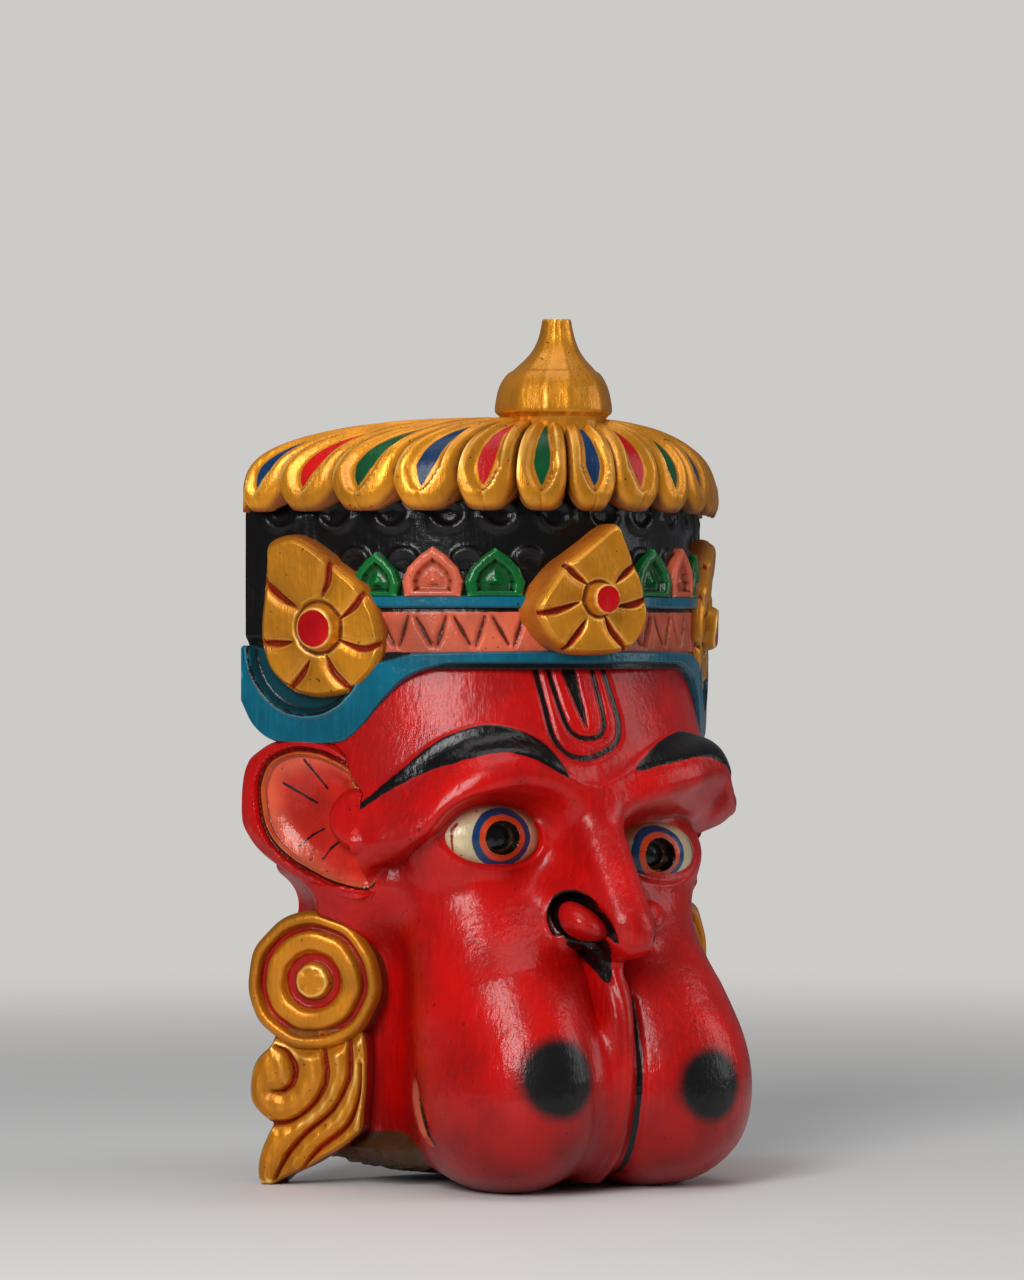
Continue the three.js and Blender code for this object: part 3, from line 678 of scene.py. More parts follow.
# %% The muzzle
LOBES = {-1: (-28, 31.5), 1: (31, 37)}      # middle and half width of each
LOBE = {"d": 68, "z": 36, "half_d": 45, "up": 48.5, "down": 37}
LIP_FRONT = [(2, 80), (14, 95.5), (32, 102.6), (50, 104.6), (70, 102.5), (84, 95)]


def lobe(x, d, z, middle, half_x):
    """Superellipsoid: (|x|^n + |d|^n + |z|^m)^(1/n) - 1, with a squarer underside."""
    up = z > LOBE["z"]
    n = 2.15
    across = (np.abs(x - middle) / half_x) ** n + (np.abs(d - LOBE["d"]) / LOBE["half_d"]) ** n
    reach = np.abs((z - LOBE["z"]) / np.where(up, LOBE["up"], LOBE["down"]))
    return ((across + reach ** np.where(up, 2, 2.3)) ** (1 / n) - 1) * half_x


def lip(x, d, z):
    """A narrow upright roll between the lobes: a circle of 4.8 mm carried along a front line."""
    return np.maximum(np.maximum(np.hypot(x + 0.2, d - through(z, LIP_FRONT)) - 4.8, z - 86), 3 - z)


def lobes(x, d, z):
    """Both lobes blended with a rod up each cheek."""
    cheeks = rod(np.abs(x), d, z, (26, 62, 70), (33, 45, 112), 32.5, 24)
    pair = blend(lobe(x, d, z, *LOBES[-1]), lobe(x, d, z, *LOBES[1]), 18)
    return blend(pair, cheeks, 12)


say("left lobe", lobes, -28.0, 80.0, 40.0)

# %% [markdown]
# ### The nose
#
# The nose is a ridge with flat flanks that ends in a round tip. Beside the tip a deep groove runs
# round each wing, and a dark nostril opens below. The groove's room is cut from the nose here. The
# wing is a separate ball that goes in later, because a ray from inside can't see round it.

# %% The nose
DEPTH = 118
NOSE_TIP = (DEPTH - 1.0, 93.5)              # (d, z)
RIDGE = [(40, 108), (70, 114), (85, 116.8), (93, 117.5), (99, 116.4), (106, 112.5), (120, 103.1),
         (142, 88.3), (150, 80), (160, 66), (210, 40)]      # (z, d)


def wing_room(x, d, z):
    """Inside the groove round a wing of the nose: an ellipsoid that slants down to the tip."""
    a, b = np.abs(x) - 12.2, d - 97
    across, away = 0.5 * b - 0.866 * a, -0.5 * a - 0.866 * b
    return ellipsoid(across + 1.2, away, z - 99.4 + 0.3 * across, 10.4, 17, 8.8)


def nose(x, d, z):
    """A ridge with flat flanks that spread downward, cut off below, and a round tip under its end."""
    ridge = through(z, RIDGE)
    f = np.radians(along(z, [(106, 65), (126, 82)]))
    body = wedge_gap((ridge - 9.5, 9.5, f), x - 0.6, d) * 0.8
    body = both(body, 93 - 0.25 * (100 - d) - z, 7)
    tip = ellipsoid(x - 1.5, d - (NOSE_TIP[0] - 11), z - NOSE_TIP[1], 9.5, 11, 8.5)
    return carve(blend(body, tip, 5), wing_room(x, d, z), 1.5)


def nostril(x, d, z):
    """A rod that thins from 6.4 to 4 mm on its way down and in."""
    return rod(np.abs(x), d, z, (11.5, 100.5, 89.5), (6.8, 103.2, 80), 6.4, 4.0)


say("tip of the nose", nose, 1.5, 108.0, 94.0)

# %% [markdown]
# ### Brow and temples
#
# A heavy bar of brow overhangs the eyes and sinks to the sides. It is easiest to say as lines over
# |x|: how far forward its middle lies, how thick it is and where its lower edge runs. A swept tube
# would do the same, but it couldn't have a sharp lower edge and a soft upper one.

# %% Brow and temples
BROW_LINE = [(0, 78, 11), (15, 79.5, 10.5), (30, 79, 10), (44, 75, 10), (56, 67.5, 10), (64, 59.5, 10),
             (70, 51.5, 9.5), (75, 43, 9), (79, 34, 8)]
BROW_LOW = {-1: [(0, 138), (12, 141.5), (20, 145), (30, 146.3), (43, 143.5), (50, 140), (56, 135), (63, 126.5),
                 (70, 120), (79, 117)],
            1: [(0, 138), (12, 138), (20, 139.5), (30, 141.8), (45, 144.4), (56, 145.5), (64, 142.5), (70, 135),
                (79, 127)]}
BROW_LIFT = [(0, 6), (30, 5.5), (50, 6), (64, 8.5), (79, 10)]
BROW_END = 79
TEMPLE = {-1: [(28, 142), (45, 138), (58, 131), (75, 117), (84, 111)],
          1: [(28, 142), (45, 138), (58, 133), (75, 126), (84, 122)]}
BROW_SLOPE = np.gradient(through(np.arange(BROW_END + 1), BROW_LINE))


def brow(x, d, z):
    """A bar read from lines over |x|. A plane that falls back from its lower edge cuts it off below."""
    at = np.minimum(np.abs(x), BROW_END)
    middle, radius = through(at, BROW_LINE), through(at, BROW_LINE, 2)
    low = by_side(x, through(at, BROW_LOW[-1]), through(at, BROW_LOW[1]))
    steep = np.interp(at, np.arange(BROW_END + 1), BROW_SLOPE)
    side_gap = (d - middle) / np.sqrt(1 + steep ** 2)
    bar = np.sqrt(side_gap ** 2 + (z - low - through(at, BROW_LIFT)) ** 2 + (np.abs(x) - at) ** 2) - radius
    return both(bar * 0.9, (low - 0.5 * (middle + 8 - d) - z) * 0.85, 2)


def temple(x, d, z):
    """A superellipse in plan that ends on a line falling from the eye to the ear."""
    low = by_side(x, along(np.abs(x), TEMPLE[-1]), along(np.abs(x), TEMPLE[1]))
    plan = ((np.abs(x) / 82.5) ** 2.5 + (np.maximum(d, 0) / 83) ** 2.5) ** 0.4 - 1
    return both(both(plan * 80, z - 166, 26), low - z, 9)


say("brow above the left eye", brow, -34.0, 78.0, 152.0)

# %% [markdown]
# ### Eyelids
#
# The lower lid is a thin skin over the eyeball with an almond cut out of it. Both are worked out on
# the eye's own tilted plate, so one drawing serves both eyes.

# %% Eyelids


def eye_local(x, d, z):
    """(a, b, h) on the plate of the nearer eye: across, up and out."""
    t = np.radians(EYE["turn"])
    a = np.abs(x) - EYE["x"]
    h = d - EYE["d"]
    return a * np.cos(t) - h * np.sin(t), z - by_side(x, EYE[-1], EYE[1]), a * np.sin(t) + h * np.cos(t)


def lid_opening(a, b):
    """Half an oval on the inner side; on the outer, what two circles through the corner share."""
    b = b - 0.08 * a - 0.4
    outer = np.maximum(np.hypot(a, b + 12.2) - 25, np.hypot(a, b - 12.2) - 25)
    return np.where(a > 0, outer, (np.hypot(a / 23, b / 12.8) - 1) * 12.8)


def lids(x, d, z):
    """A thin skin over the lower half of the eyeball, with the opening cut out of it."""
    a, b, h = eye_local(x, d, z)
    skin = ellipsoid(a, h, b, EYE["half_x"] + 1.3, EYE["half_d"] + 0.8, EYE["half_z"] + 1.1)
    return np.maximum(both(skin, -lid_opening(a, b + by_side(x, 0, 1.2)), 1.0), b - 5)


print("the lids open from", -23, "to", round(float(np.sqrt(25 ** 2 - 12.2 ** 2)), 1), "mm across each eye")

# %% [markdown]
# ### Room for the ears and earrings
#
# Ears and earrings are plates of their own, so the head leaves room for them, and some wood joins
# them to it behind. Without this room the cheek would swell through the plates.

# %% Room for the ears and earrings
EAR = {-1: 83.5, 1: 79, "d": 18.4, "z": 136, "turn": 58}
DISC = {-1: 79, 1: 80, "d": 17.5, "z": 75, "turn": 45, "radius": 24.5}


def ear_room(x, d, z):
    """Inside the space before an ear's dish: out from its plate, back of its line with the face."""
    t = np.radians(EAR["turn"])
    off = np.abs(x) - by_side(x, EAR[-1], EAR[1])
    a = (d - EAR["d"]) * np.sin(t) - off * np.cos(t)
    h = off * np.sin(t) + (d - EAR["d"]) * np.cos(t)
    line = np.interp(z, [98, 145, 150, 158, 162, 166, 184], [27.8, 27.8, 23, 19, 13, 4, -20])
    low = np.interp(a, [-25, -8, 8, 28], [131, 119, 112, 109])
    return np.maximum(np.maximum((a - line) * 0.8, -1.4 - h), np.maximum(low - z, z - 183) * 0.8)


def disc_room(x, d, z):
    """Inside the round space that an earring's disc fills."""
    t = np.radians(DISC["turn"])
    off = np.abs(x) - by_side(x, DISC[-1], DISC[1])
    a = ((d - DISC["d"]) - off) * np.sin(t)
    h = ((d - DISC["d"]) + off) * np.sin(t)
    return np.maximum(np.hypot(a, z - DISC["z"]) - DISC["radius"], -2.5 - h)


def neck(x, d, z):
    """The wood between an ear, the cheek and the earring: two rods, blended."""
    across = np.abs(x) + by_side(x, 0, 8)
    behind = rod(across, d, z, (77, 16, 105), (73, 7, 70), 7.5, 9)
    return blend(behind, rod(across, d, z, (67, 32, 111), (62, 14, 84), 9.5, 9), 14)


say("room of the left disc", disc_room, -79.0, 20.0, 75.0)

# %% [markdown]
# ### The whole head, and the hollow
#
# Now the parts are joined from the largest to the smallest. The order matters, as in carving: a
# socket is sunk before the eye's mound goes into it, and the nostrils are cut last. Behind, the
# wearer's side is scooped out to a smooth oval bowl.

# %% The whole head, and the hollow
SCOOP = {"low": 30, "high": 238, "half": 56, "depth": 42, "power": 2.2}


def beard(x, d, z):
    """A flat ellipsoid under the jaw."""
    return ellipsoid(x, d - 8, z - 14, 68, 62, 12)


def flesh(x, d, z):
    """Face, brow, sockets, lids and muzzle: all but the nose, the beard and the wood under the ears."""
    eye_z = by_side(x, EYE[-1], EYE[1])
    field = blend(face(x, d, z), temple(x, d, z), 8)
    field = blend(field, brow(x, d, z), 7)
    field = carve(field, ellipsoid(np.abs(x) - 35.1, d - 84, z - eye_z - 1, 27, 19, 15.5), 3)
    mound = ellipsoid(np.abs(x) - EYE["x"], d - EYE["d"] + 4, z - eye_z, 27.5, 17.5, 19.5)
    field = blend(field, mound, 2)
    field = blend(field, lids(x, d, z), 1.5)
    return blend(field, blend(lobes(x, d, z), lip(x, d, z), 2.5 + 9 * ease(x, 3, -14)), 12)


def head(x, d, z):
    """Flesh and nose blended with the neck, less the rooms, the waist and the nostrils, plus the beard."""
    field = blend(flesh(x, d, z), nose(x, d, z), 9)
    field = carve(blend(field, neck(x, d, z), 14), ear_room(x, d, z), 0.8)
    field = carve(field, disc_room(x, d, z), 0.8)
    waist = ellipsoid(np.abs(x) - 91, d, z - 102, 14.5, 30, 13)
    field = carve(carve(field, waist, 3), nostril(x, d, z), 1.5)
    a, b, h = eye_local(x, d, z)
    return np.maximum(np.minimum(field, beard(x, d, z)), -ellipsoid(a, h, b, 21.5, 16.2, 13.6))


def scoop(x, d, z):
    """The hollow behind: ((|x/half|^n + |d/depth|^n + |z|^4)^(1/n) - 1) 40, with n = 2.2."""
    low, high, n = SCOOP["low"], SCOOP["high"], SCOOP["power"]
    mid = (low + high) / 2
    half = SCOOP["half"] + 16 * ease(z, 70, 180)
    depth = SCOOP["depth"] + 10 * ease(z, 60, 150)
    plan = (np.abs(x) / half) ** n + ((np.abs(d + 1)) / depth) ** n
    rise = (np.abs(z - mid) / (high - mid)) ** 4
    return ((plan + rise) ** (1 / n) - 1) * 40


say("head behind the nose", head, 0.0, 60.0, 120.0)
say("hollow behind the nose", scoop, 0.0, 20.0, 120.0)

# %% [markdown]
# ## Looking rows
#
# The skin of the face is found by looking out from the middle of the block along rows of rays,
# level down the front and then turning under the chin. Under the brow and under the nose the rays
# dip, so they meet those undersides squarely. Each ray walks in from outside by nine tenths of
# the field's value until it meets the wood, for all the rays at once.

# %% Rays to the skin
TOP_ROW, CHIN_ROW = 204, 46


def looking(levels, chins):
    """Origins' heights and tilts of the rows, from the top down to straight below."""
    height = np.linspace(TOP_ROW, CHIN_ROW, 400)
    share = np.cumsum(1 + 0.7 * bump(height, 98, 14))
    level = np.interp(np.linspace(share[0], share[-1], levels), share, height)
    tilt = -16 * bump(level, 141, 12) - 18 * bump(level, 90, 13)
    origin = level - 85 * np.tan(np.radians(tilt))
    under = -90 * (np.arange(1, chins + 1) / chins)
    return np.r_[origin, np.full(chins, CHIN_ROW)], np.radians(np.r_[tilt, under])


def turns(count):
    """Sideways angles that lie closer together in the middle: 90 (0.55 t + 0.45 t |t|) degrees."""
    t = np.linspace(-1, 1, count)
    return np.radians(90) * (0.55 * t + 0.45 * t * np.abs(t))


def meet(field, origin, tilt, turn, start=135.0, steps=100):
    """Where each ray first meets the field from outside: r becomes r - 0.9 f(r)."""
    up, side = np.meshgrid(tilt, turn, indexing="ij")
    direction = np.stack([np.cos(up) * np.sin(side), np.cos(up) * np.cos(side), np.sin(up)])
    z0 = origin[:, None] + 0 * side
    r = np.full(side.shape, start)
    for _ in range(steps):
        gap = field(direction[0] * r, direction[1] * r, z0 + direction[2] * r)
        r = np.maximum(r - 0.9 * gap, 0)
    return np.stack([direction[0] * r, np.maximum(direction[1] * r, 0), z0 + direction[2] * r], -1)


def slope(field, points, step=0.15):
    """Direction in which the field grows fastest, from differences over a small step."""
    x, d, z = np.moveaxis(points, -1, 0)
    grown = [field(x + step, d, z) - field(x - step, d, z), field(x, d + step, z) - field(x, d - step, z),
             field(x, d, z + step) - field(x, d, z - step)]
    grown = np.stack(grown, -1)
    return grown / np.maximum(np.linalg.norm(grown, axis=-1, keepdims=True), 1e-9)


ahead = meet(head, np.array([94.0]), np.array([0.0]), np.array([0.0]))[0, 0]
print("a level ray at z 94 meets the nose at d", ahead[1].round(1), "mm")


# %% [markdown]
# ## Lines cut and painted on the face
#
# Brows, the forehead mark, the lip line and the corner of the mouth are drawn on the front view
# as (x, z) points. The same drawings give the chisel its depth and the brush its paint.

# %% Drawings on the face
BROWS = [
    [(-82, 134.5), (-75.9, 140.8), (-66, 152.6), (-53, 164.2), (-37, 169.4), (-21.5, 163.8), (-13.8, 151.4),
     (-17, 151.8), (-28.3, 157.6), (-39.8, 159.3), (-56.6, 153.7), (-68.3, 146), (-75.9, 138.6)],
    [(16, 152.4), (29.3, 161.6), (46.7, 166.3), (63.2, 161.9), (69.5, 154), (77.5, 142.5), (68, 149.5),
     (59, 154.5), (47.2, 157), (27.5, 154.2)],
]
MARK_OUTER = [(-17.6, 191), (-16.5, 176.4), (-15.1, 165), (-11, 158.8), (-4.3, 157), (3.9, 158.8),
              (11.1, 162.7), (13.4, 170), (12.1, 179.9), (10.3, 191)]
MARK_INNER = [(-12.8, 191), (-11.2, 178.2), (-8.9, 168.8), (-5.6, 165.2), (-1, 164.2), (4.2, 165.4),
              (6.6, 169.4), (6.4, 178.1), (5.4, 191)]
MARK_FLAME = [(-7.3, 191), (-5.4, 181), (-3.2, 173), (-1.4, 168.6), (-1, 173), (-1.5, 181), (-2.2, 191)]
TONGUE = [(-14.2, 151.3), (-7.3, 147.6), (1.2, 146.7), (9.6, 149.2), (16.4, 152.7)]
LIP_LEFT = [(-4.3, 81.2), (-2.2, 66.8), (-2.1, 49.2), (-2.5, 34.8), (-2.1, 16.3), (-1, 5)]
LIP_RIGHT = [(10.6, 70, 0.2), (10.1, 66, 0.5), (8.4, 48.5, 1.0), (6.9, 26.8, 1.1), (8.4, 14, 1.0), (11, 6, 0.7)]
MOUTH_CORNER = [(-22.4, 42.4), (-23.2, 36), (-22.7, 31), (-20.8, 23), (-16.8, 17.4), (-11.4, 14.4), (-14.1, 16.5),
                (-17.2, 21.3), (-19.6, 29), (-20.8, 35.4)]
MOUTH_LINE = [(-20.6, 36, 0.4), (-19.4, 29, 0.65), (-17.2, 21.3, 0.7), (-14.1, 16.2, 0.4)]
DOTS = [(-29.8, 43.5, 14.6), (33.4, 39, 13.4)]
CRESCENT = [(27.8, 93.5), (25.2, 99), (26.2, 104.1), (31.4, 108.1), (38.7, 107.4), (46.4, 102), (51, 92),
            (48.4, 92.5), (45.2, 97.5), (41.5, 102.4), (36, 104.8), (31.8, 103.2), (30.4, 99), (31.6, 94.2)]
NOSTRIL_DARK = [(32.2, 90.8), (35.8, 93.4), (40.1, 94.4), (44.2, 94), (48, 90.5), (48.6, 83.6), (48.2, 77.4),
                (46.4, 76.6), (43, 80), (38.7, 84.3), (34.4, 88.6)]
print("drawn points on the face:", sum(map(len, (*BROWS, MARK_OUTER, MARK_INNER, MARK_FLAME, TONGUE, LIP_LEFT,
                                                 LIP_RIGHT, MOUTH_CORNER, MOUTH_LINE, CRESCENT, NOSTRIL_DARK))))

# %% [markdown]
# ### From drawings to distances
#
# Each drawing becomes a distance at every point of the skin. A chisel cut is then a bump over that
# distance, and the last shallow waves are the marks of a wide, flat gouge. The mouth's corner and
# the nostrils lie on walls that face sideways, so they are drawn as the camera sees the left half.

# %% From drawings to distances


def widths(points, half):
    """A smooth line of (u, v) points that all have the same half width."""
    line = curve(points)
    return np.c_[line, np.full(len(line), half)]


def face_lines(x, d, z):
    """Every drawn distance on the head by name, far away (9 mm) behind the front."""
    front = np.where(d > 25, 0, 9)
    brows = np.minimum(*[area(x, z, curve(line, closed=True)) for line in BROWS])
    mark = np.minimum(stroke(x, z, widths(MARK_OUTER, 1.0)), stroke(x, z, widths(MARK_INNER, 0.9)))
    mark = np.minimum(mark, area(x, z, curve(MARK_FLAME, closed=True)))
    lip_line = stroke(x, z, curve(LIP_RIGHT)) + np.where(d > 70, 0, 9)
    lip_soft = stroke(x, z, widths(LIP_LEFT, 0.3)) + np.where(d > 70, 0, 9)
    seen = 0.5 * d - 0.866 * np.abs(x)
    low_side = np.where((d > 25) & (d < 90) & (z < 60), 0, 9)
    corner = area(seen, z, curve(MOUTH_CORNER, closed=True)) + low_side
    corner_line = stroke(seen, z, curve(MOUTH_LINE)) + low_side
    tongue = stroke(x, z, widths(TONGUE, 0.2)) + front
    near_nose = np.where((d > 70) & (z > 70), 0, 9)
    crescent = area(seen, z, curve(CRESCENT, closed=True)) + near_nose
    hole = area(seen, z, curve(NOSTRIL_DARK, closed=True)) + near_nose
    dots = np.minimum(*[np.hypot(x - a, z - b) - r for a, b, r in DOTS]) + np.where(d > 70, 0, 20)
    return {"brows": brows + front, "mark": mark + front, "lip_line": lip_line, "lip_soft": lip_soft,
            "corner": corner, "corner_line": corner_line, "tongue": tongue, "crescent": crescent,
            "hole": hole, "dots": dots}


def chisel(x, d, z):
    """How far the last cuts move the skin, in mm: grooves inward, brows and ridges outward."""
    lines = face_lines(x, d, z)
    cut = -0.9 * bump(np.maximum(lines["mark"], -0.3), 0, 0.7) * (z < 190)
    cut += 0.7 * ease(lines["brows"], 0.7, -0.7)
    cut -= 0.9 * bump(np.maximum(lines["lip_line"], 0), 0, 0.7)
    cut -= 0.6 * bump(np.maximum(lines["lip_soft"], 0), 0, 0.9)
    cut -= 1.6 * ease(lines["corner"], 0.6, -1.2)
    cut -= 1.3 * ease(lines["crescent"], 0.4, -1.2)
    cut += 0.5 * bump(lines["tongue"], 0, 1.0)
    strands = np.sin((z + 0.25 * np.abs(x) + 1.5 * np.sin(d / 9)) * 2.1)
    cut += 1.2 * strands * ease(flesh(x, d, z) - beard(x, d, z), 0.2, 2.0)
    waves = np.sin(x / 6.1 + 1.3 * np.sin(z / 9)) * np.sin(z / 7.3 + np.sin(d / 8)) * np.sin(d / 9 + 1)
    return cut + 0.22 * waves


on_brow = np.array([[-37.0], [80.0], [164.0]])
print("the chisel lifts the middle of the left brow by", chisel(*on_brow)[0].round(2), "mm")


# %% [markdown]
# ## The head as one closed shell
#
# The carved skin and the hollow behind it are two grids with rows at the same heights. Both end
# on the flat back, where a strip of faces joins them, so the head is one closed shell, thick as
# the real one. A boolean cut would give the same wall, but with long thin faces along its edge.

# %% The shell maker


def shell(outer, inner, stride):
    """Outer and inner grids, joined by faces on the flat back and along their first row."""
    rows, columns = outer.shape[:2]
    back_rows, back_columns = inner.shape[:2]
    start = rows * columns
    o = np.arange(start).reshape(rows, columns)
    i = start + np.arange(back_rows * back_columns).reshape(back_rows, back_columns)
    faces = [*grid_faces(rows, columns).tolist(), *grid_faces(back_rows, back_columns, start)[:, ::-1].tolist()]
    left, right, top = o[:, 0].tolist(), o[:, -1].tolist(), o[0].tolist()
    in_left, in_right, in_top = i[:, 0].tolist(), i[:, -1].tolist(), i[0].tolist()
    for j in range(back_rows - 1):
        part = slice(j * stride, (j + 1) * stride + 1)
        faces.append(left[part][::-1] + [in_left[j], in_left[j + 1]])
        faces.append(right[part] + [in_right[j + 1], in_right[j]])
    for j in range(back_columns - 1):
        faces.append(top[j * stride:(j + 1) * stride + 1] + [in_top[j + 1], in_top[j]])
    return np.concatenate([outer.reshape(-1, 3), inner.reshape(-1, 3)]), faces


flat_sheet = np.zeros((5, 5, 3))
print("a trial shell of 5 by 5 points outside has", len(shell(flat_sheet, flat_sheet[::4, ::4], 4)[1]), "faces")

# %% [markdown]
# ### The face's paint
#
# Two coats of red lacquer cover the face, painted deeper towards its base as shade under light from above.
# Black goes over brows, mark, lip line and nostrils, and the round dots on the muzzle have soft
# edges, as if dabbed with a cloth. The beard's strands are left brown.

# %% The face's paint


def head_paint(x, d, z):
    """Distances of the face's layers by name: drawn lines and cut rooms, far away (9 mm) inside the hollow."""
    lines = face_lines(x, d, z)
    black = np.min([lines[key] for key in ("brows", "mark", "lip_line", "corner_line", "crescent", "hole")], 0)
    black = np.minimum(black, np.where(d > 88, nostril(x, d, z) - 0.6, 9))
    black = np.minimum(black, np.where(d > 76, wing_room(x, d, z) - 1.1, 9))
    inner = np.where(scoop(x, d, z) < 1.0, 9, 0)
    # low is painted shade: a deeper red from about z 64 mm down to the base
    return {"black": black + inner, "dots": lines["dots"] + inner, "corner": lines["corner"] + inner,
            "strands": np.clip(beard(x, d, z) - flesh(x, d, z), -4, 9) + inner, "low": z - 36 + inner}


# low is painted shade towards the base; DEEP_RED in grooves is painted shade and dirt
red_lacquer = painted("red lacquer", RED, DEEP_RED, [
    ("low", rgb(156, 5, 5), 56, 0.4), ("strands", rgb(74, 44, 20), 0.6, 0.5),
    ("corner", rgb(206, 92, 60), 1.0, 0.45), ("dots", BLACK, 6.0, 0.5), ("black", BLACK, 0.5, 0.26)],
    rough=0.4, coat=0.4)
red_lacquer_plain = painted("red lacquer plain", RED, DEEP_RED, [], rough=0.4, coat=0.4)
print("red lacquer has", len(red_lacquer.node_tree.nodes), "nodes")

# %% [markdown]
# ### The skin
#
# All rays are walked at once to find the skin. Then each point moves along the slope of the field
# by the depth of the chisel, so even shallow cuts are real shape and catch the light. Every fourth
# ray is walked again to the hollow, and its points line up with those outside.

# %% The skin
COARSE = 4                                  # outer rows and columns to one of the hollow
ROWS, CHINS, COLUMNS = 220, 44, 300
origin, tilt = looking(ROWS + 1, CHINS)
turn = turns(COLUMNS + 1)
skin = meet(head, origin, tilt, turn)
x, d, z = np.moveaxis(skin, -1, 0)
skin = skin + slope(head, skin) * chisel(x, d, z)[..., None]
skin[..., 1:] = np.maximum(skin[..., 1:], 0)
inside = meet(scoop, origin[::COARSE], tilt[::COARSE], turn[::COARSE])
tucked = 0.3 * ease(origin, 187, 189)       # under the crown the head stops short of the back
for grid, rim in ((skin, tucked), (inside, tucked[::COARSE])):
    grid[:, [0, -1], 1] = 0
    grid[-1] = grid[-1].mean(0)
    grid[..., 1] = np.maximum(grid[..., 1], rim[:, None])
print("skin points:", skin.shape[:2], "hollow points:", inside.shape[:2])

# %% [markdown]
# ### The head's piece
#
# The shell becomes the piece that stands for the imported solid. The hollow was never painted, so
# faces that lie on the scoop are bare wood like the back.

# %% The head's piece
BARE = 1.5                                  # millimetres from the scoop


def bare_hollow(piece):
    """Faces whose middle is closer than 1.5 mm to the scoop become bare wood."""
    polygons = piece.data.polygons
    x, y, z = read(polygons, "center", 3).T.astype(float) * 1000
    index = read(polygons, "material_index", kind=np.int32)
    wood = scoop(x, BACK - y, z) < BARE
    polygons.foreach_set("material_index", np.where(wood, 1, index).astype(np.int32))
    print(piece.name, "faces of bare wood in the hollow:", wood.sum())


points, faces = shell(skin, inside, COARSE)
mask_head = make_piece("mask_head", points, faces, red_lacquer, "red_lacquer", head_paint, sharp=60)
bare_hollow(mask_head)
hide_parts("mask")

# %% [markdown]
# ### Wings of the nose
#
# Each wing is a slanting egg that sits in its black groove. It is a piece of its own here, so the
# groove can run right round behind it, which one grid of rays from the middle can't do.

# %% Wings of the nose
WING = {-1: (12, 98, 14), 1: (10.5, 99, 10)}        # out, front and half length of each


def nose_wing(side):
    """An ellipsoid whose long way slants: middle + across u + away v + up w, for points on a sphere."""
    t = np.linspace(0, 2 * PI, 73)[:-1]
    tilt_up = np.linspace(-PI / 2, PI / 2, 42)[1:-1, None]
    out, front, long = WING[side]
    across, away = 9.2 * np.cos(tilt_up) * np.cos(t), long * np.cos(tilt_up) * np.sin(t)
    return np.stack([side * (out - 0.866 * across - 0.5 * away), front + 0.5 * across - 0.866 * away,
                     98 - 0.35 * across + (6.3 - 0.2 * across) * np.sin(tilt_up)], -1)


SIDES = ((-1, "left"), (1, "right"))
for side, word in SIDES:
    ring_piece(f"nose_wing_{word}", nose_wing(side), red_lacquer_plain, "red_lacquer", cut_wood=False)

# %% [markdown]
# ## The crown's plan
#
# Above the face the block becomes a crown that stands a little proud. Places on it are given by s,
# the length round its plan from the middle of the front, and by z. Drawn this way it is a flat
# strip that is bent round the head, so ornaments keep their width all the way.

# %% Plan of the crown
CROWN = wedge(99, 78, 55)
ARC = CROWN[1] * CROWN[2]
RING = ARC + (99 - CROWN[1] * np.sin(CROWN[2])) / np.cos(CROWN[2])


def crown_at(s, out):
    """x and d at the length s round the plan, set out from it: an arc, then a straight flank."""
    centre, radius, f = CROWN
    t = np.clip(s / radius, -f, f)
    rest = np.maximum(np.abs(s) - ARC, 0)
    return ((radius + out) * np.sin(t) + np.sign(s) * rest * np.cos(f),
            centre + (radius + out) * np.cos(t) - rest * np.sin(f))


def crown_s(x, d):
    """The length s of the nearest place on the plan."""
    centre, radius, f = CROWN
    away = d - centre
    t = np.arctan2(np.abs(x), away)
    edge_x, edge_d = radius * np.sin(f), centre + radius * np.cos(f)
    beyond = ARC + (np.abs(x) - edge_x) * np.cos(f) - (d - edge_d) * np.sin(f)
    return np.sign(x) * np.where(t < f, radius * t, beyond)


print("round the crown from back to back, mm:", round(2 * float(RING), 1))

# %% [markdown]
# ### Relief of the crown
#
# Hair with rows of flat curls is cut back above. Below it lie a blue strip and a salmon band with
# slanting chisel cuts. All of them are steps and bumps over (s, z), added to how far the wall
# stands out.

# %% Relief of the crown
UPPER_CURLS = [-117.7, -96.6, -73.7, -51.8, -32.1, -10.5, 10.5, 30.6, 52.7, 74, 96, 118]
LOWER_CURLS = [-88, -68.6, -44.6, -21.2, 29.6, 50, 70, 88]


def slits():
    """Slanting cuts of the salmon band: pairs of strokes, 14 mm apart, each wider in its middle."""
    lines = []
    for start in np.arange(-98, 98, 14.2):
        for a, b in (((start, 197.8), (start + 3.2, 208.6)), ((start + 6.2, 208.4), (start + 12, 198.4))):
            a, b = np.array(a), np.array(b)
            lines.append(np.array([[*a, 0.1], [*(0.6 * a + 0.4 * b), 0.75], [*b, 0.25]]))
    return lines


SLITS = slits()


def slit_gap(s, z):
    """Distance to the nearest slanting cut, measured only close to each."""
    gap = np.full(np.shape(s), 9.0)
    for line in SLITS:
        near = (s > line[:, 0].min() - 4) & (s < line[:, 0].max() + 4)
        gap[near] = np.minimum(gap[near], stroke(s[near], z[near], line))
    return gap


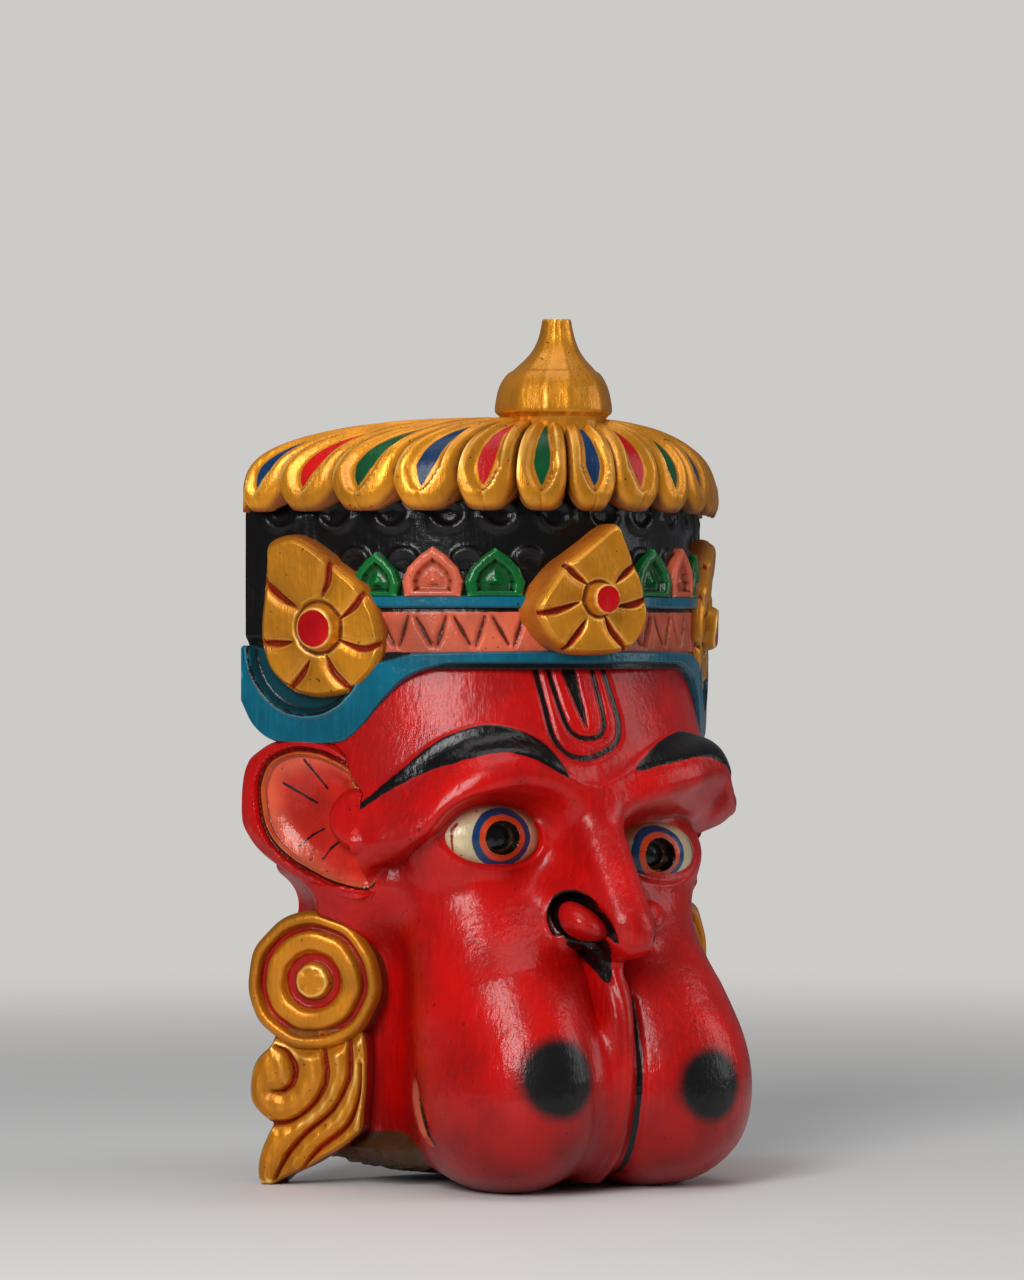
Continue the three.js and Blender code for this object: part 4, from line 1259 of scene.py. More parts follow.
def curl_relief(s, z):
    """Upper curls: a lens with a raised lip below it. Lower curls: a dome with a lit upper edge."""
    height = np.zeros(np.shape(s))
    for at in UPPER_CURLS:
        ring = np.hypot((s - at) / 6.6, (z - 245.6) / 4.9)
        height += (0.45 + 0.45 * (z < 245.6)) * bump(ring, 1.0, 0.3) - 0.8 * ease(ring, 0.95, 0.4)
    for at in LOWER_CURLS:
        ring = np.hypot((s - at) / 6.2, (z - 229.5) / 4.8)
        height += 1.5 * ease(ring, 1.1, 0.75) - 1.0 * ease(np.hypot((s - at) / 6.2, (z - 227.6) / 4.8), 1, 0.4)
    return height


def crown_relief(s, z):
    """How far the wall stands out at (s, z)."""
    hair = np.maximum(ease(z, 215.9, 216.6), ease(np.abs(s), 105, 106.5))
    strip = ease(z, 211.3, 212.1) * (1 - hair)
    side = ease(np.abs(s), 104, 108) * ease(z, 198, 202) * ease(z, 250, 246)
    out = hair * (-2.5 + 1.8 * side) + 1.8 * strip - 0.5 * bump(z, 211, 0.7) * (1 - hair)
    out -= 1.2 * bump(np.maximum(slit_gap(s, z), 0), 0, 0.6) * (1 - hair)
    out += curl_relief(s, z) * ease(z, 217, 220)
    return out + 0.25 * np.sin(s / 7) * np.sin(z / 6 + s / 19)


trial_s, trial_z = np.meshgrid(np.linspace(-90, 90, 91), np.linspace(192, 260, 69))
print("the relief spans", np.ptp(crown_relief(trial_s, trial_z)).round(1), "mm and has", len(SLITS), "cuts")

# %% [markdown]
# ### Paint of the crown
#
# The wall is black all over, with salmon and blue brushed on the two bands. Each band is a distance
# from its own middle height, and the cuts are painted darker, as the shade in them, so that they
# read from afar.

# %% Paint of the crown


def crown_paint(x, d, z):
    """|z - middle| - half height for each band, ended at the sides, and the distance to the cuts."""
    s = crown_s(x, d)
    flat = np.maximum(np.abs(s) - 105.5, 0)
    return {"salmon": np.maximum(np.abs(z - 203.0) - 7.4, np.abs(s) - 104),
            "slits": slit_gap(s, z) + np.where(flat > 0, 9, 0),
            "strip": np.maximum(np.abs(z - 213.9) - 2.3, np.abs(s) - 105.5),
            "dark": np.maximum(np.abs(z - 210.9) - 0.75, np.abs(s) - 104)}


# slits is painted shade in the cuts; the grey edge colour is a painted highlight on the hair's edges and curls
crown_colours = painted("crown paint", BLACK, DARK, [
    ("salmon", SALMON, 0.4, 0.4), ("slits", rgb(118, 38, 22), 0.7, 0.5), ("strip", BLUE, 0.4, 0.32),
    ("dark", DARK, 0.4, 0.3)], rough=0.34, coat=0.3, streak=0.25, edge=rgb(60, 56, 56))
print("crown paint has", len(crown_colours.node_tree.nodes), "nodes")

# %% [markdown]
# ### The crown's wall
#
# The wall is a grid over (s, z), closed like the head by a second grid on the hollow and strips
# between them. Rows lie closer on the bands, whose cuts are the finest detail.

# %% The crown's wall
CROWN_BASE, CROWN_TOP = 189.5, 262.0
INNER = 101                                 # columns of the hollow's grid
wall_z = np.r_[np.arange(CROWN_BASE, 217, 0.62), np.arange(217.3, CROWN_TOP, 0.95), CROWN_TOP]
wall_z = wall_z[:len(wall_z) - (len(wall_z) - 1) % COARSE]
wall_s = np.linspace(-RING, RING, (INNER - 1) * COARSE + 1)
s, z = np.meshgrid(wall_s, wall_z[::-1])
x, d = crown_at(s, crown_relief(s, z))
outer = np.stack([x, np.maximum(d, 0.15), z], -1)
outer[:, [0, -1], 1] = 0.15


def scoop_line(z, count):
    """The hollow's outline at each height, as the curve |x/a|^2.2 + |d/b|^2.2 = 1 - rise."""
    n, mid = SCOOP["power"], (SCOOP["low"] + SCOOP["high"]) / 2
    half = SCOOP["half"] + 16 * ease(z, 70, 180) + 0.3
    depth = SCOOP["depth"] + 10.3 + 0 * z
    size = np.maximum(1 - (np.abs(z - mid) / (SCOOP["high"] - mid)) ** 4, 0) ** (1 / n)
    t = np.linspace(-PI / 2, PI / 2, count)
    px, pd = np.sign(t) * np.abs(np.sin(t)) ** (2 / n), np.abs(np.cos(t)) ** (2 / n)
    inner_d = np.maximum(size[:, None] * depth[:, None] * pd - 1, 0.15)
    return np.stack([size[:, None] * half[:, None] * px, inner_d, z[:, None] + 0 * px], -1)


inner = scoop_line(wall_z[::-1][::COARSE], INNER)
points, faces = shell(outer, inner, COARSE)
last_row = ((len(wall_z) - 1) * len(wall_s) + np.arange(len(wall_s))).tolist()
first = outer.shape[0] * outer.shape[1] + (inner.shape[0] - 1) * INNER
for j in range(INNER - 1):
    faces.append(last_row[j * COARSE:(j + 1) * COARSE + 1][::-1] + [first + j, first + j + 1])
crown_wall = make_piece("crown_wall", points, faces, crown_colours, "black_paint", crown_paint)
bare_hollow(crown_wall)

# %% [markdown]
# ## The blue band
#
# A blue strip edges the crown above the forehead and sweeps down beside each temple into a broad
# scroll with a sunk crescent. It is drawn on the crown's own (s, z) plane as a lower and an upper
# line, with rows between them, so it bends round the crown by itself.

# %% The blue band and its scrolls
BAND_LOW = [(0, 191.2), (46, 191.2), (55, 190.3), (62, 188.2), (67.5, 185.4), (72.5, 181), (77.5, 175.4),
            (82.7, 169.2), (88, 164.4), (94, 162.2), (110, 161.8), (121, 163.4), (128, 168.5), (RING, 177)]
BAND_HIGH = [(0, 196.4), (58, 195.6), (66, 194.8), (76, 192.4), (88, 193), (120, 197), (RING, 198)]


def sunk(s, z):
    """An oval round the side flower, below 1 inside it."""
    return np.hypot((np.abs(s) - 106) / 24, (z - 197) / 24.5)


def band_rows(count):
    """Rows from the lower to the upper line: z = low + (high - low) v, set out by the relief, and a
    row behind them that is sunk into the wood."""
    s = np.linspace(-RING, RING, 421)
    low = through(np.abs(s), BAND_LOW)
    high = through(np.abs(s), BAND_HIGH)
    v = (1 - np.cos(np.linspace(0, PI, count))) / 2
    z = low + (high - low) * v[:, None]
    rim = np.minimum(z - low, high - z)
    out = 2.4 * ease(rim, -0.4, 1.0)
    inside = sunk(s, z)
    out = out - 3.6 * ease(inside, 1.0, 0.9) + 0.7 * bump(inside, 1.02, 0.03)
    deep = -3 - 13 * ease(np.abs(s), 74, 112)
    x, d = crown_at(s, out)
    rows = np.stack([x, d, z], -1)
    back_x, back_d = crown_at(s, deep)
    back = np.stack([back_x, back_d, low], -1), np.stack([back_x, back_d, high], -1)
    return np.concatenate([back[0][None], rows, back[1][None]])


def band_paint(x, d, z):
    """Distances to the sunk crescent, and to a dark line round it and along the lower edge."""
    s = crown_s(x, d)
    low = through(np.abs(s), BAND_LOW)
    inside = sunk(s, z)
    front = np.where(np.abs(s) < 80, 9, 0)
    round_it = np.abs(inside - 1.0) * 26 - 0.5 + front
    return {"hollowed": (inside - 0.985) * 26 + front, "line": np.minimum(round_it, z - low + 0.1)}


# the light teal edge colour is a painted highlight on the band's rims
blue_paint = painted("blue paint", BLUE, DARK, [
    ("hollowed", rgb(8, 62, 72), 1.2, 0.35), ("line", DARK, 0.5, 0.35)], rough=0.28, coat=0.5,
    edge=rgb(70, 160, 180))
rows = np.swapaxes(band_rows(96), 0, 1)
rows[..., 1] = np.maximum(rows[..., 1], 0.2)
blue_band = ring_piece("blue_band", rows, blue_paint, "blue_paint", paint=band_paint)

# %% [markdown]
# ## The cap of petals
#
# Thirteen tongues run out from under the finial, over a rounded shoulder, to thick tips that hang
# over the hair. Each could be a bent plate of its own, but on the real cap they are cut from one
# dome. So one grid makes the whole cap: one way runs round it, and w says where a line lies across
# its petal. The other way runs from the middle to the rim.

# %% Where the petals lie
PETALS = [-RING, -116.6, -95.2, -71.3, -49.4, -29.3, -8.9, 10.7, 31.3, 50.5, 72, 93.5, 114.5, RING]
CAP = {"rim": 247.0, "top": 281.0, "middle": 56.0, "edge": 101.6, "past_wall": 6.5}
PER_PETAL, BEHIND, SPOKE = 26, 24, 74       # lines to a petal and along the back, points to a spoke


def cap_rim():
    """For each line round the cap: w across its petal, the petal's half width, x, d, and 1 where carved."""
    w = np.linspace(-1, 1, PER_PETAL + 1)[:-1]
    s = np.concatenate([a + (b - a) * (w + 1) / 2 for a, b in zip(PETALS[:-1], PETALS[1:])] + [[RING]])
    x, d = crown_at(s, CAP["past_wall"])
    back = np.linspace(0.98, -0.98, BEHIND)
    rim_x = np.r_[np.clip(x, -CAP["edge"], CAP["edge"]), back * CAP["edge"]]
    wide = np.interp(s, PETALS[:-1], np.diff(PETALS)) / 2
    return (np.r_[np.tile(w, len(PETALS) - 1), 1.0, np.ones(BEHIND)], np.r_[wide, np.full(BEHIND, 8.0)],
            rim_x, np.r_[np.maximum(d, 0), 0 * back], np.r_[np.ones(len(s)), np.zeros(BEHIND)])


def cap_dome(length, notch):
    """rho = sin(a)^0.75 and height = cos(a)^0.62 along each spoke, its z, and its way left to the tip."""
    a = PI / 2 * (1 - (1 - np.linspace(0.03, 1, SPOKE)) ** 1.9)[:, None]
    rho, high = np.sin(a) ** 0.75, np.cos(a) ** 0.62
    z = CAP["rim"] + notch + (CAP["top"] - CAP["rim"] - notch) * high
    steps = np.hypot(np.diff(rho * length, axis=0), np.diff(z, axis=0))
    from_tip = np.cumsum(steps[::-1], 0)[::-1]
    return rho, high, z, np.concatenate([from_tip, np.zeros((1, len(notch)))]) - notch * 0.3


print("petals are", np.diff(PETALS).min().round(1), "to", np.diff(PETALS).max().round(1), "mm wide at the rim")

# %% [markdown]
# ### One petal's carving
#
# Every petal has a rounded section with a sunk trough inside its rim, and a coloured drop is painted
# in the trough. The trough and the drop are both half widths along the petal, so they narrow
# together towards the finial.

# %% One petal's carving


def petal_carving(w, across, from_tip, rho, carved):
    """Relief over w and the way from the tip, and the distances to the drop and to the gap between petals."""
    far = from_tip / from_tip[0]
    drop_half = 0.3 * np.clip((from_tip - 9) / 8, 0, 1) ** 0.7 * (1 - 0.85 * ease(far, 0.35, 0.85))
    trough_half = 0.54 * np.clip((from_tip - 6.5) / 8, 0, 1) ** 0.5 * (1 - 0.45 * ease(far, 0.25, 0.9))
    trough = (np.abs(w) - trough_half) * across
    relief = 3.6 * np.maximum(1 - np.abs(w) ** 2.6, 0) ** 0.5 - 2.0 - 1.9 * ease(trough, 0.9, -1.4)
    relief = (relief - 2.4 * bump(np.abs(w), 1, 0.08)) * ease(rho, 0.12, 0.4) * carved
    off = np.where(carved > 0, 0, 9)
    drop = np.maximum((np.abs(w) - drop_half) * across, 9 - from_tip) + off
    return relief, drop, (1 - np.abs(w)) * across - 0.7 + off


def cap_rings():
    """Spokes from the middle to the rim, bent by the relief, then three rows in under the rim."""
    w, wide, rim_x, rim_d, carved = cap_rim()
    length = np.hypot(rim_x, rim_d - CAP["middle"])
    rho, high, z, from_tip = cap_dome(length, 8.5 * np.abs(w) ** 4 * carved)
    relief, drop, between = petal_carving(w, wide * rho, from_tip, rho, carved)
    tip = 1.1 * np.clip(1 - from_tip / 6, 0, 1) ** 2 * carved
    r = rho * length + relief * rho - 3.0 * tip
    z = z + relief * high ** 0.7
    unit = np.stack([rim_x, rim_d - CAP["middle"]]) / length
    px, pd = unit[0] * r, CAP["middle"] + unit[1] * r
    rows = [np.stack([px, np.where(rim_d == 0, np.minimum(pd, 0.2 + 56 * (1 - rho)), pd), z], -1)]
    for inward, up in ((1.5, -0.2), (7, 2.5), (20, 6)):
        r_in = np.maximum(r[-1] - inward, 0)
        rows.append(np.stack([unit[0] * r_in, CAP["middle"] + unit[1] * r_in, z[-1] + up], -1)[None])
    return np.concatenate(rows), drop, between, from_tip


rings, drop, between, from_tip = cap_rings()
print("cap grid:", rings.shape[:2], "longest spoke, mm:", from_tip[0].max().round(1))

# %% [markdown]
# ### Gold and drops
#
# The cap's distances are known on the grid itself, so they are stored straight on its points. The
# drops go round in blue, red and green, and brown is painted between the petals and on and under
# their thick tips as painted shade.

# %% Gold and drops
petal_number = np.r_[np.repeat(np.arange(len(PETALS) - 1), PER_PETAL), len(PETALS) - 2, np.zeros(BEHIND)]
below = np.full((3, len(petal_number)), 9.0)
cap_values = {colour: np.concatenate([np.where(petal_number % 3 == number, drop, 9.0), below])
              for number, colour in enumerate(("drop_blue", "drop_red", "drop_green"))}
cap_values["tips"] = np.concatenate([from_tip - 1.2, below - 12])
cap_values["between"] = np.concatenate([between, below])
# tips and between are painted shade: brown on and under the thick tips and in the gaps between petals; the pale
# edge colour is a painted highlight and wear on the rims
cap_gold = painted("cap gold", GOLD, BROWN, [
    ("tips", rgb(128, 66, 20), 2.6, 0.5), ("between", rgb(122, 58, 16), 1.0, 0.5),
    ("drop_blue", rgb(16, 52, 92), 0.5, 0.36), ("drop_red", rgb(206, 18, 18), 0.5, 0.36),
    ("drop_green", rgb(16, 82, 46), 0.5, 0.36)],
    metal=0.5, rough=0.38, coat=0.2, streak=0.2, edge=rgb(255, 214, 120), shade_and_dirt_bends=(0.1, 0.5))
petal_cap = ring_piece("petal_cap", rings, cap_gold, "gold_paint", values=cap_values)

# %% [markdown]
# ## The finial
#
# The finial is a bulb with a drawn-up neck. It looks turned but was cut with a chisel: flat strokes
# run up it. So the radius follows a profile and also dips a little towards each corner of an
# eleven-sided prism, and the neck leans a touch to one side.

# %% A bulb with chisel marks
# the pale edge colour is a painted highlight and wear on the ridges; brown in grooves is painted shade and dirt
gold_paint = painted("gold paint", GOLD, BROWN, [], metal=0.55, rough=0.36, coat=0.25, streak=0.3,
                     edge=rgb(255, 212, 116), shade_and_dirt_bends=(0.1, 0.5))
FINIAL = [(317.9, 0.1), (317.9, 4.4), (317.6, 5.3), (315, 5.8), (310.6, 6.9), (306.7, 8.6), (303.4, 11),
          (300.8, 13.6), (299, 15.4), (298, 17), (295.5, 18.9), (292.2, 20.4), (288.9, 21.2), (285.7, 21.7),
          (283.6, 21.6), (282.2, 20.2), (280.5, 19.4), (274, 19)]     # (z, r)


def finial_rings():
    """r = profile(z) (1 - 0.8 (1 - prism)), where prism is the radius of an 11-sided polygon."""
    z, r = curve(FINIAL, 6).T
    t = np.linspace(0, 2 * PI, 121)[:-1]
    wander = t + 0.12 * np.sin(3 * t)
    corner = np.mod(wander * 11, 2 * PI) / 11 - PI / 11
    prism = np.cos(PI / 11) / np.cos(corner)
    size = r[:, None] * (1 - 0.8 * (1 - prism))
    lean = 1.4 * ease(z, 292, 312)[:, None]
    return np.stack([size * np.cos(t) + lean, 56 + size * np.sin(t), z[:, None] + 0 * t], -1)


finial = ring_piece("finial", finial_rings(), gold_paint, "gold_paint")

# %% [markdown]
# ## Flowers on the crown
#
# Three gold flowers sit on the band. Each is a thick plate with a drawn outline, cut into petals
# by red slits, with a red button. Their outlines are uneven, as cut by hand, so they are drawn
# point by point rather than made as a star of equal petals.

# %% Outlines and slits of the flowers
SIDE_EDGE = [(-19.3, 32.2), (-9.4, 34.3), (2.4, 27.6), (5.7, 24.8), (14.8, 18.1), (21.2, 9.1), (23.6, 1.9),
             (24.1, -3.6), (23.2, -9), (19.7, -15), (12.2, -20.8), (1.4, -23.2), (-7.3, -22.6), (-13.4, -20),
             (-20.6, -13.3), (-23.3, -4.8), (-23.7, 2.5), (-22.4, 12.2), (-21.4, 19.5), (-20.6, 26.8)]
SIDE_SLITS = [[(-22, 19.2), (-14.9, 12.8), (-9, 9.2)], [(4.6, 27), (4.0, 19.4), (1.2, 12.8)],
              [(18.6, 15.6), (14.5, 9.7), (8.3, 4.9)], [(24.6, -3.9), (17.3, -5.9), (7.4, -2.7)],
              [(12.3, -21), (5.4, -14.4), (2.5, -8.4)], [(-13.2, -21), (-8, -15.7), (-4.3, -10.2)],
              [(-23.4, -3.6), (-16.8, -4.1), (-11.1, -3.4)]]
FRONT_EDGE = [(8.1, 27), (11.2, 23.1), (14.8, 15.3), (18.7, 7.5), (20.4, 1.5), (21.1, -4.6), (19.7, -10.6),
              (16.2, -15.5), (11.9, -18), (4.2, -19.3), (-7, -19.3), (-14, -17.6), (-20.2, -12.5), (-24.2, -4.7),
              (-23.6, -0.5), (-19.5, 5.5), (-13.6, 12.4), (-8.4, 16), (-1.4, 20.8)]
FRONT_SLITS = [[(-14, 13.2), (-9.8, 9.5), (-4.2, 5.6)], [(16, 12.9), (11.9, 9.9), (7.5, 6.2)],
               [(20.6, 0.6), (14.8, -1.7), (8, -2.2)], [(12.4, -18), (6.3, -11.8), (3.1, -5.8)],
               [(-13.8, -18), (-7.6, -11.2), (-4.9, -7)], [(-24.8, -4.9), (-16.8, -3.8), (-7.7, -0.8)]]


def slit_line(points):
    """A smooth line whose half width swells to 1.25 mm on the way in and ends in a point."""
    line = curve(points, 6)
    t = np.linspace(0, 1, len(line))
    return np.c_[line, 0.15 + 1.15 * np.sin(PI * (0.12 + 0.88 * t)) ** 0.8]


print("widest slit, mm:", round(2 * slit_line(SIDE_SLITS[0])[:, 2].max(), 2))

# %% [markdown]
# ### Flower plates
#
# The grid is polar: level runs from the middle to the outline, and the height at each point comes
# from its distance to the slits and the button. A skirt of four more rings goes down into the
# crown, so no gap opens where the flat plate stands off the round wall.

# %% Flower plates


def polar(edge, levels, count, middle=(0, 0)):
    """Rings between the middle and a drawn outline: middle + level (edge - middle)."""
    line = curve(edge, 12, closed=True) - np.array(middle)
    angle = np.arctan2(line[:, 1], line[:, 0])
    order = np.argsort(angle)
    t = np.linspace(-PI, PI, count + 1)[:-1]
    reach = np.interp(t, angle[order], np.hypot(*line.T)[order], period=2 * PI)
    a = middle[0] + levels[:, None] * reach * np.cos(t)
    b = middle[1] + levels[:, None] * reach * np.sin(t)
    return a, b, reach * (1 - levels[:, None])


def flower(name, place, edge, slit_points, lift, button, tall, ring):
    """Plate with slits: lift + petals - slits, then the button and the ring round it."""
    slit_lines = [slit_line(points) for points in slit_points]
    levels = np.r_[np.linspace(0.02, 0.9, 62), np.linspace(0.915, 1, 12)]
    a, b, inward = polar(edge, levels, 216)

    def gaps(a, b):
        """Distance to the nearest slit, and from the button's middle."""
        slit = np.min([stroke(a, b, line) for line in slit_lines], 0)
        return slit, np.hypot(a - button[0], (b - button[1]) * 0.96)

    slit, r = gaps(a, b)
    h = lift - 1.5 * ease(inward, 1.8, 0.0) - 0.7 * ease(inward, 0.5, 0)
    h = h - 2.0 * ease(slit, 0.5, -1.0) - 0.8 * bump(np.maximum(slit, 0), 0, 1.6)
    h = h + 0.25 * np.sin(a / 4.1) * np.sin(b / 3.7)
    h = h - 0.8 * bump(r, button[2] + ring, 0.8)
    h = h + tall * ease(r, button[2] + ring * 0.8, button[2] * 0.95) ** 0.7
    h = h - 0.5 * ease(r, button[2] * 0.9, button[2]) * (tall < 5)
    rings = on_seat(place, a, b, h)
    skirt = [on_seat(place, a[-1] * k, b[-1] * k, 0 * a[-1] + v)
             for k, v in ((1.015, lift - 3.2), (1.03, lift - 5), (1.03, -6.0), (1.0, -11.0))]
    rings = np.concatenate([rings, skirt])

    def paint(x, d, z):
        a, b, h = from_seat(place, x, d, z)
        slit, r = gaps(a, b)
        return {"slits": slit + np.where(h > lift - 4.2, 0.1, 9), "wall": h - lift + 2.6,
                "button": r - button[2] * 0.9 + np.where(h > lift, 0, 9)}

    return ring_piece(name, rings, flower_gold, "gold_paint", paint=paint)


# the pale edge colour is a painted highlight and wear on the petals' rims
flower_gold = painted("flower gold", GOLD, BROWN, [
    ("wall", rgb(190, 104, 30), 3.0, 0.42), ("slits", rgb(168, 18, 18), 0.6, 0.35),
    ("button", rgb(206, 14, 20), 0.4, 0.3)], metal=0.5, rough=0.4, coat=0.2, streak=0.2,
    edge=rgb(255, 210, 112), shade_and_dirt_bends=(0.12, 0.6))
FLOWER = {-1: (80, 27.5), 1: (78.5, 26.5)}          # out and front of each side flower
for side, word in SIDES:
    out, front = FLOWER[side]
    place = swapped(seat(side * out, front, 203, side * 54, -4), side)
    flower(f"flower_{word}", place, SIDE_EDGE, SIDE_SLITS, 6, (0, 1.9, 7.2), 3.6, 1.9)
flower("flower_front", seat(0, 78, 214.5, 0), FRONT_EDGE, FRONT_SLITS, 11, (0, 0.3, 5.2), 6.5, 0.9)

# %% [markdown]
# ## Leaves on the band
#
# Small pointed leaves stand on the band against the hair, green and salmon in turn. Each is a
# raised rim round a sunk middle with a vein. Rings that shrink towards the middle give the rim,
# and their heights come from a short profile.

# %% Leaves
# the lighter edge colours are painted highlights on the leaves' rims
green_paint = painted("green paint", GREEN, rgb(14, 34, 14), [], rough=0.26, coat=0.5, edge=rgb(60, 168, 84))
salmon_paint = painted("salmon paint", SALMON, rgb(120, 44, 24), [], rough=0.36, coat=0.4,
                       edge=rgb(236, 140, 112))
LEAF_EDGE = [(-0.92, 0.0), (-1.0, 0.3), (-0.82, 0.58), (-0.42, 0.83), (0, 1.0), (0.42, 0.83), (0.82, 0.58),
             (1.0, 0.3), (0.92, 0.0), (0.45, 0.0), (0, 0.0), (-0.45, 0.0)]
LEAF_PROFILE = [(0.02, 2.6), (0.12, 2.1), (0.3, 1.3), (0.5, 1.2), (0.58, 1.9), (0.63, 3.4), (0.7, 4.1),
                (0.85, 4.2), (0.95, 3.7), (1.0, 2.4), (1.0, -3.0)]


def leaf(s, half, high):
    """Points between the leaf's middle and its outline, at the profile's heights."""
    x, d = crown_at(np.array(s), -2.5)
    place = seat(x, d, 215.6, np.degrees(np.clip(s / CROWN[1], -CROWN[2], CROWN[2])))
    levels, heights = curve(LEAF_PROFILE, 4).T
    corners = np.array(LEAF_EDGE)[:, None]
    part = np.linspace(0, 1, 7)[:-1, None]
    line = (corners + (np.roll(corners, -1, 0) - corners) * part).reshape(-1, 2) * [half, high]
    middle = np.array([0, 0.34 * high])
    a = middle[0] + levels[:, None] * (line[:, 0] - middle[0])
    b = middle[1] + levels[:, None] * (line[:, 1] - middle[1])
    return on_seat(place, a, b, heights[:, None])


for side, word in SIDES:
    for number, (s, half, high) in enumerate([(34.3, 11, 17.8), (57, 11.2, 18.4), (78.5, 9.2, 16.4)]):
        finish, slot = [(green_paint, "blue_paint"), (salmon_paint, "salmon_paint")][number % 2]
        ring_piece(f"leaf_{word}_{number + 1}", leaf(side * s, half, high), finish, slot, sharp=30)

# %% [markdown]
# ## Eyes
#
# The eyeballs bulge from under the brow. Each is a round pillow with a drilled pupil. The painted
# rings follow the distance from the pupil's middle, and the white is painted darker towards the
# lids, as the shade that the lids cast.

# %% Eyeballs
# corner is painted shade: the white turns brown towards the lids
eye_paint_finish = painted("eye paint", rgb(226, 206, 164), rgb(66, 38, 18), [
    ("corner", rgb(150, 84, 44), 4.5, 0.4), ("vein", rgb(150, 20, 16), 0.4, 0.3),
    ("blue_ring", rgb(6, 62, 110), 0.35, 0.2), ("orange_ring", rgb(226, 74, 26), 0.35, 0.25),
    ("pupil", rgb(14, 10, 8), 0.35, 0.12)], rough=0.22, coat=0.7, streak=0.15)
VEIN = [(-12.6, 5.2, 0.3), (-14.4, 2.4, 0.6), (-14.6, -1.4, 0.45), (-14, -4.8, 0.3)]
BLUE_RING, ORANGE_RING, PUPIL = 11.2, 8.7, 6.5      # radii in millimetres


def iris_gap(a, b):
    """How far a point of the plate is from the pupil's middle, on a slightly oval measure."""
    return np.hypot((a - 3.8) / 1.04, b / 0.97)


def eyeball(side, word):
    """h = half_d sqrt(1 - level^2), less the drilled pupil."""
    place = swapped(seat(side * EYE["x"], EYE["d"], EYE[side], side * EYE["turn"]), side)
    levels = np.sin(np.linspace(0.01, PI / 2, 60))
    t = np.linspace(0, 2 * PI, 129)[:-1]
    a = levels[:, None] * EYE["half_x"] * np.cos(t)
    b = levels[:, None] * EYE["half_z"] * np.sin(t)
    iris = iris_gap(a, b)
    h = EYE["half_d"] * np.sqrt(np.maximum(1 - levels[:, None] ** 2, 0)) + 0 * t
    h = h - 5.5 * ease(iris, 6.4, 5.0) + 0.2 * bump(iris, 6.6, 0.4)
    rings = on_seat(place, a, b, h)
    rings = np.concatenate([rings, on_seat(place, a[-1:], b[-1:], -4.0 + 0 * a[-1:])])

    def paint(x, d, z):
        """Rings round the pupil, a vein, and the painted shade inside the lids."""
        a, b, h = from_seat(place, x, d, z)
        iris = iris_gap(a, b)
        return {"corner": -lid_opening(-a, b) - 2.8, "vein": stroke(a, b, curve(VEIN)),
                "blue_ring": iris - BLUE_RING, "orange_ring": iris - ORANGE_RING, "pupil": iris - PUPIL}

    return ring_piece(f"eye_{word}", rings, eye_paint_finish, "bare_wood", paint=paint)


for side, word in SIDES:
    eyeball(side, word)

# %% [markdown]
# ## Ears
#
# The ears are cupped plates turned half outward. A broad rim runs round a groove, and inside lies
# a salmon dish with a few black hairs. The height is a function of the distance from the drawn
# outline and from the dish's edge, and a round knob closes each ear in front.

# %% Outlines of the ear
EAR_EDGE = [(-1.6, 28.1), (-11.7, 26.6), (-18.4, 23.1), (-23, 18.6), (-25.2, 9.4), (-25.4, -2.1), (-21.9, -9.1),
            (-16.8, -14.2), (-9.5, -19), (-1, -24), (8, -27.5), (17, -30), (26, -31), (31, -26), (32, -12),
            (32, 2), (28.5, 12), (23.5, 19), (17, 24), (8, 27.3)]
EAR_DISH = [(-14.7, 11.3), (-11.1, 18.4), (-2, 21.9), (7.1, 21.4), (14.1, 19.1), (20.2, 16.1), (22.6, 13.1),
            (23, 10.4), (29, 7), (32, -6), (32, -18), (28.5, -25), (17.2, -23.6), (9.1, -20.7), (0, -16.5),
            (-8.1, -10.5), (-12.7, -3.6), (-14.5, 4)]
EAR_HAIRS = [[(-7.6, 11.6), (-0.6, 7.6), (5.4, 4.4)], [(1.6, 20.2), (5.6, 14.6), (9.4, 9.8)],
             [(-1.4, -11.6), (3, -7.6), (8.4, -5)], [(8.6, -16), (11, -12.4), (14.4, -9.6)]]
KNOB = [(0.2, 7.8), (7, 7.6), (9.8, 7.0), (12, 5.2), (13.4, 2.4), (14.1, -0.5), (14.1, -8)]    # (r, h)
print("the ear is", round(float(np.ptp(np.array(EAR_EDGE)[:, 1])), 1), "mm tall")

# %% [markdown]
# ### Ear plates and knobs
#
# The rim, the groove and the dish are steps over two distances: to the ear's outline and to the
# dish's. The same distances place the paint, with a dark line in the groove and warm red deep in
# the dish.

# %% Ear plates and knobs


def ear_place(side):
    """The ear's seat: turned 58 degrees out on its own side."""
    return swapped(seat(side * EAR[side], EAR["d"], EAR["z"], side * EAR["turn"]), side)


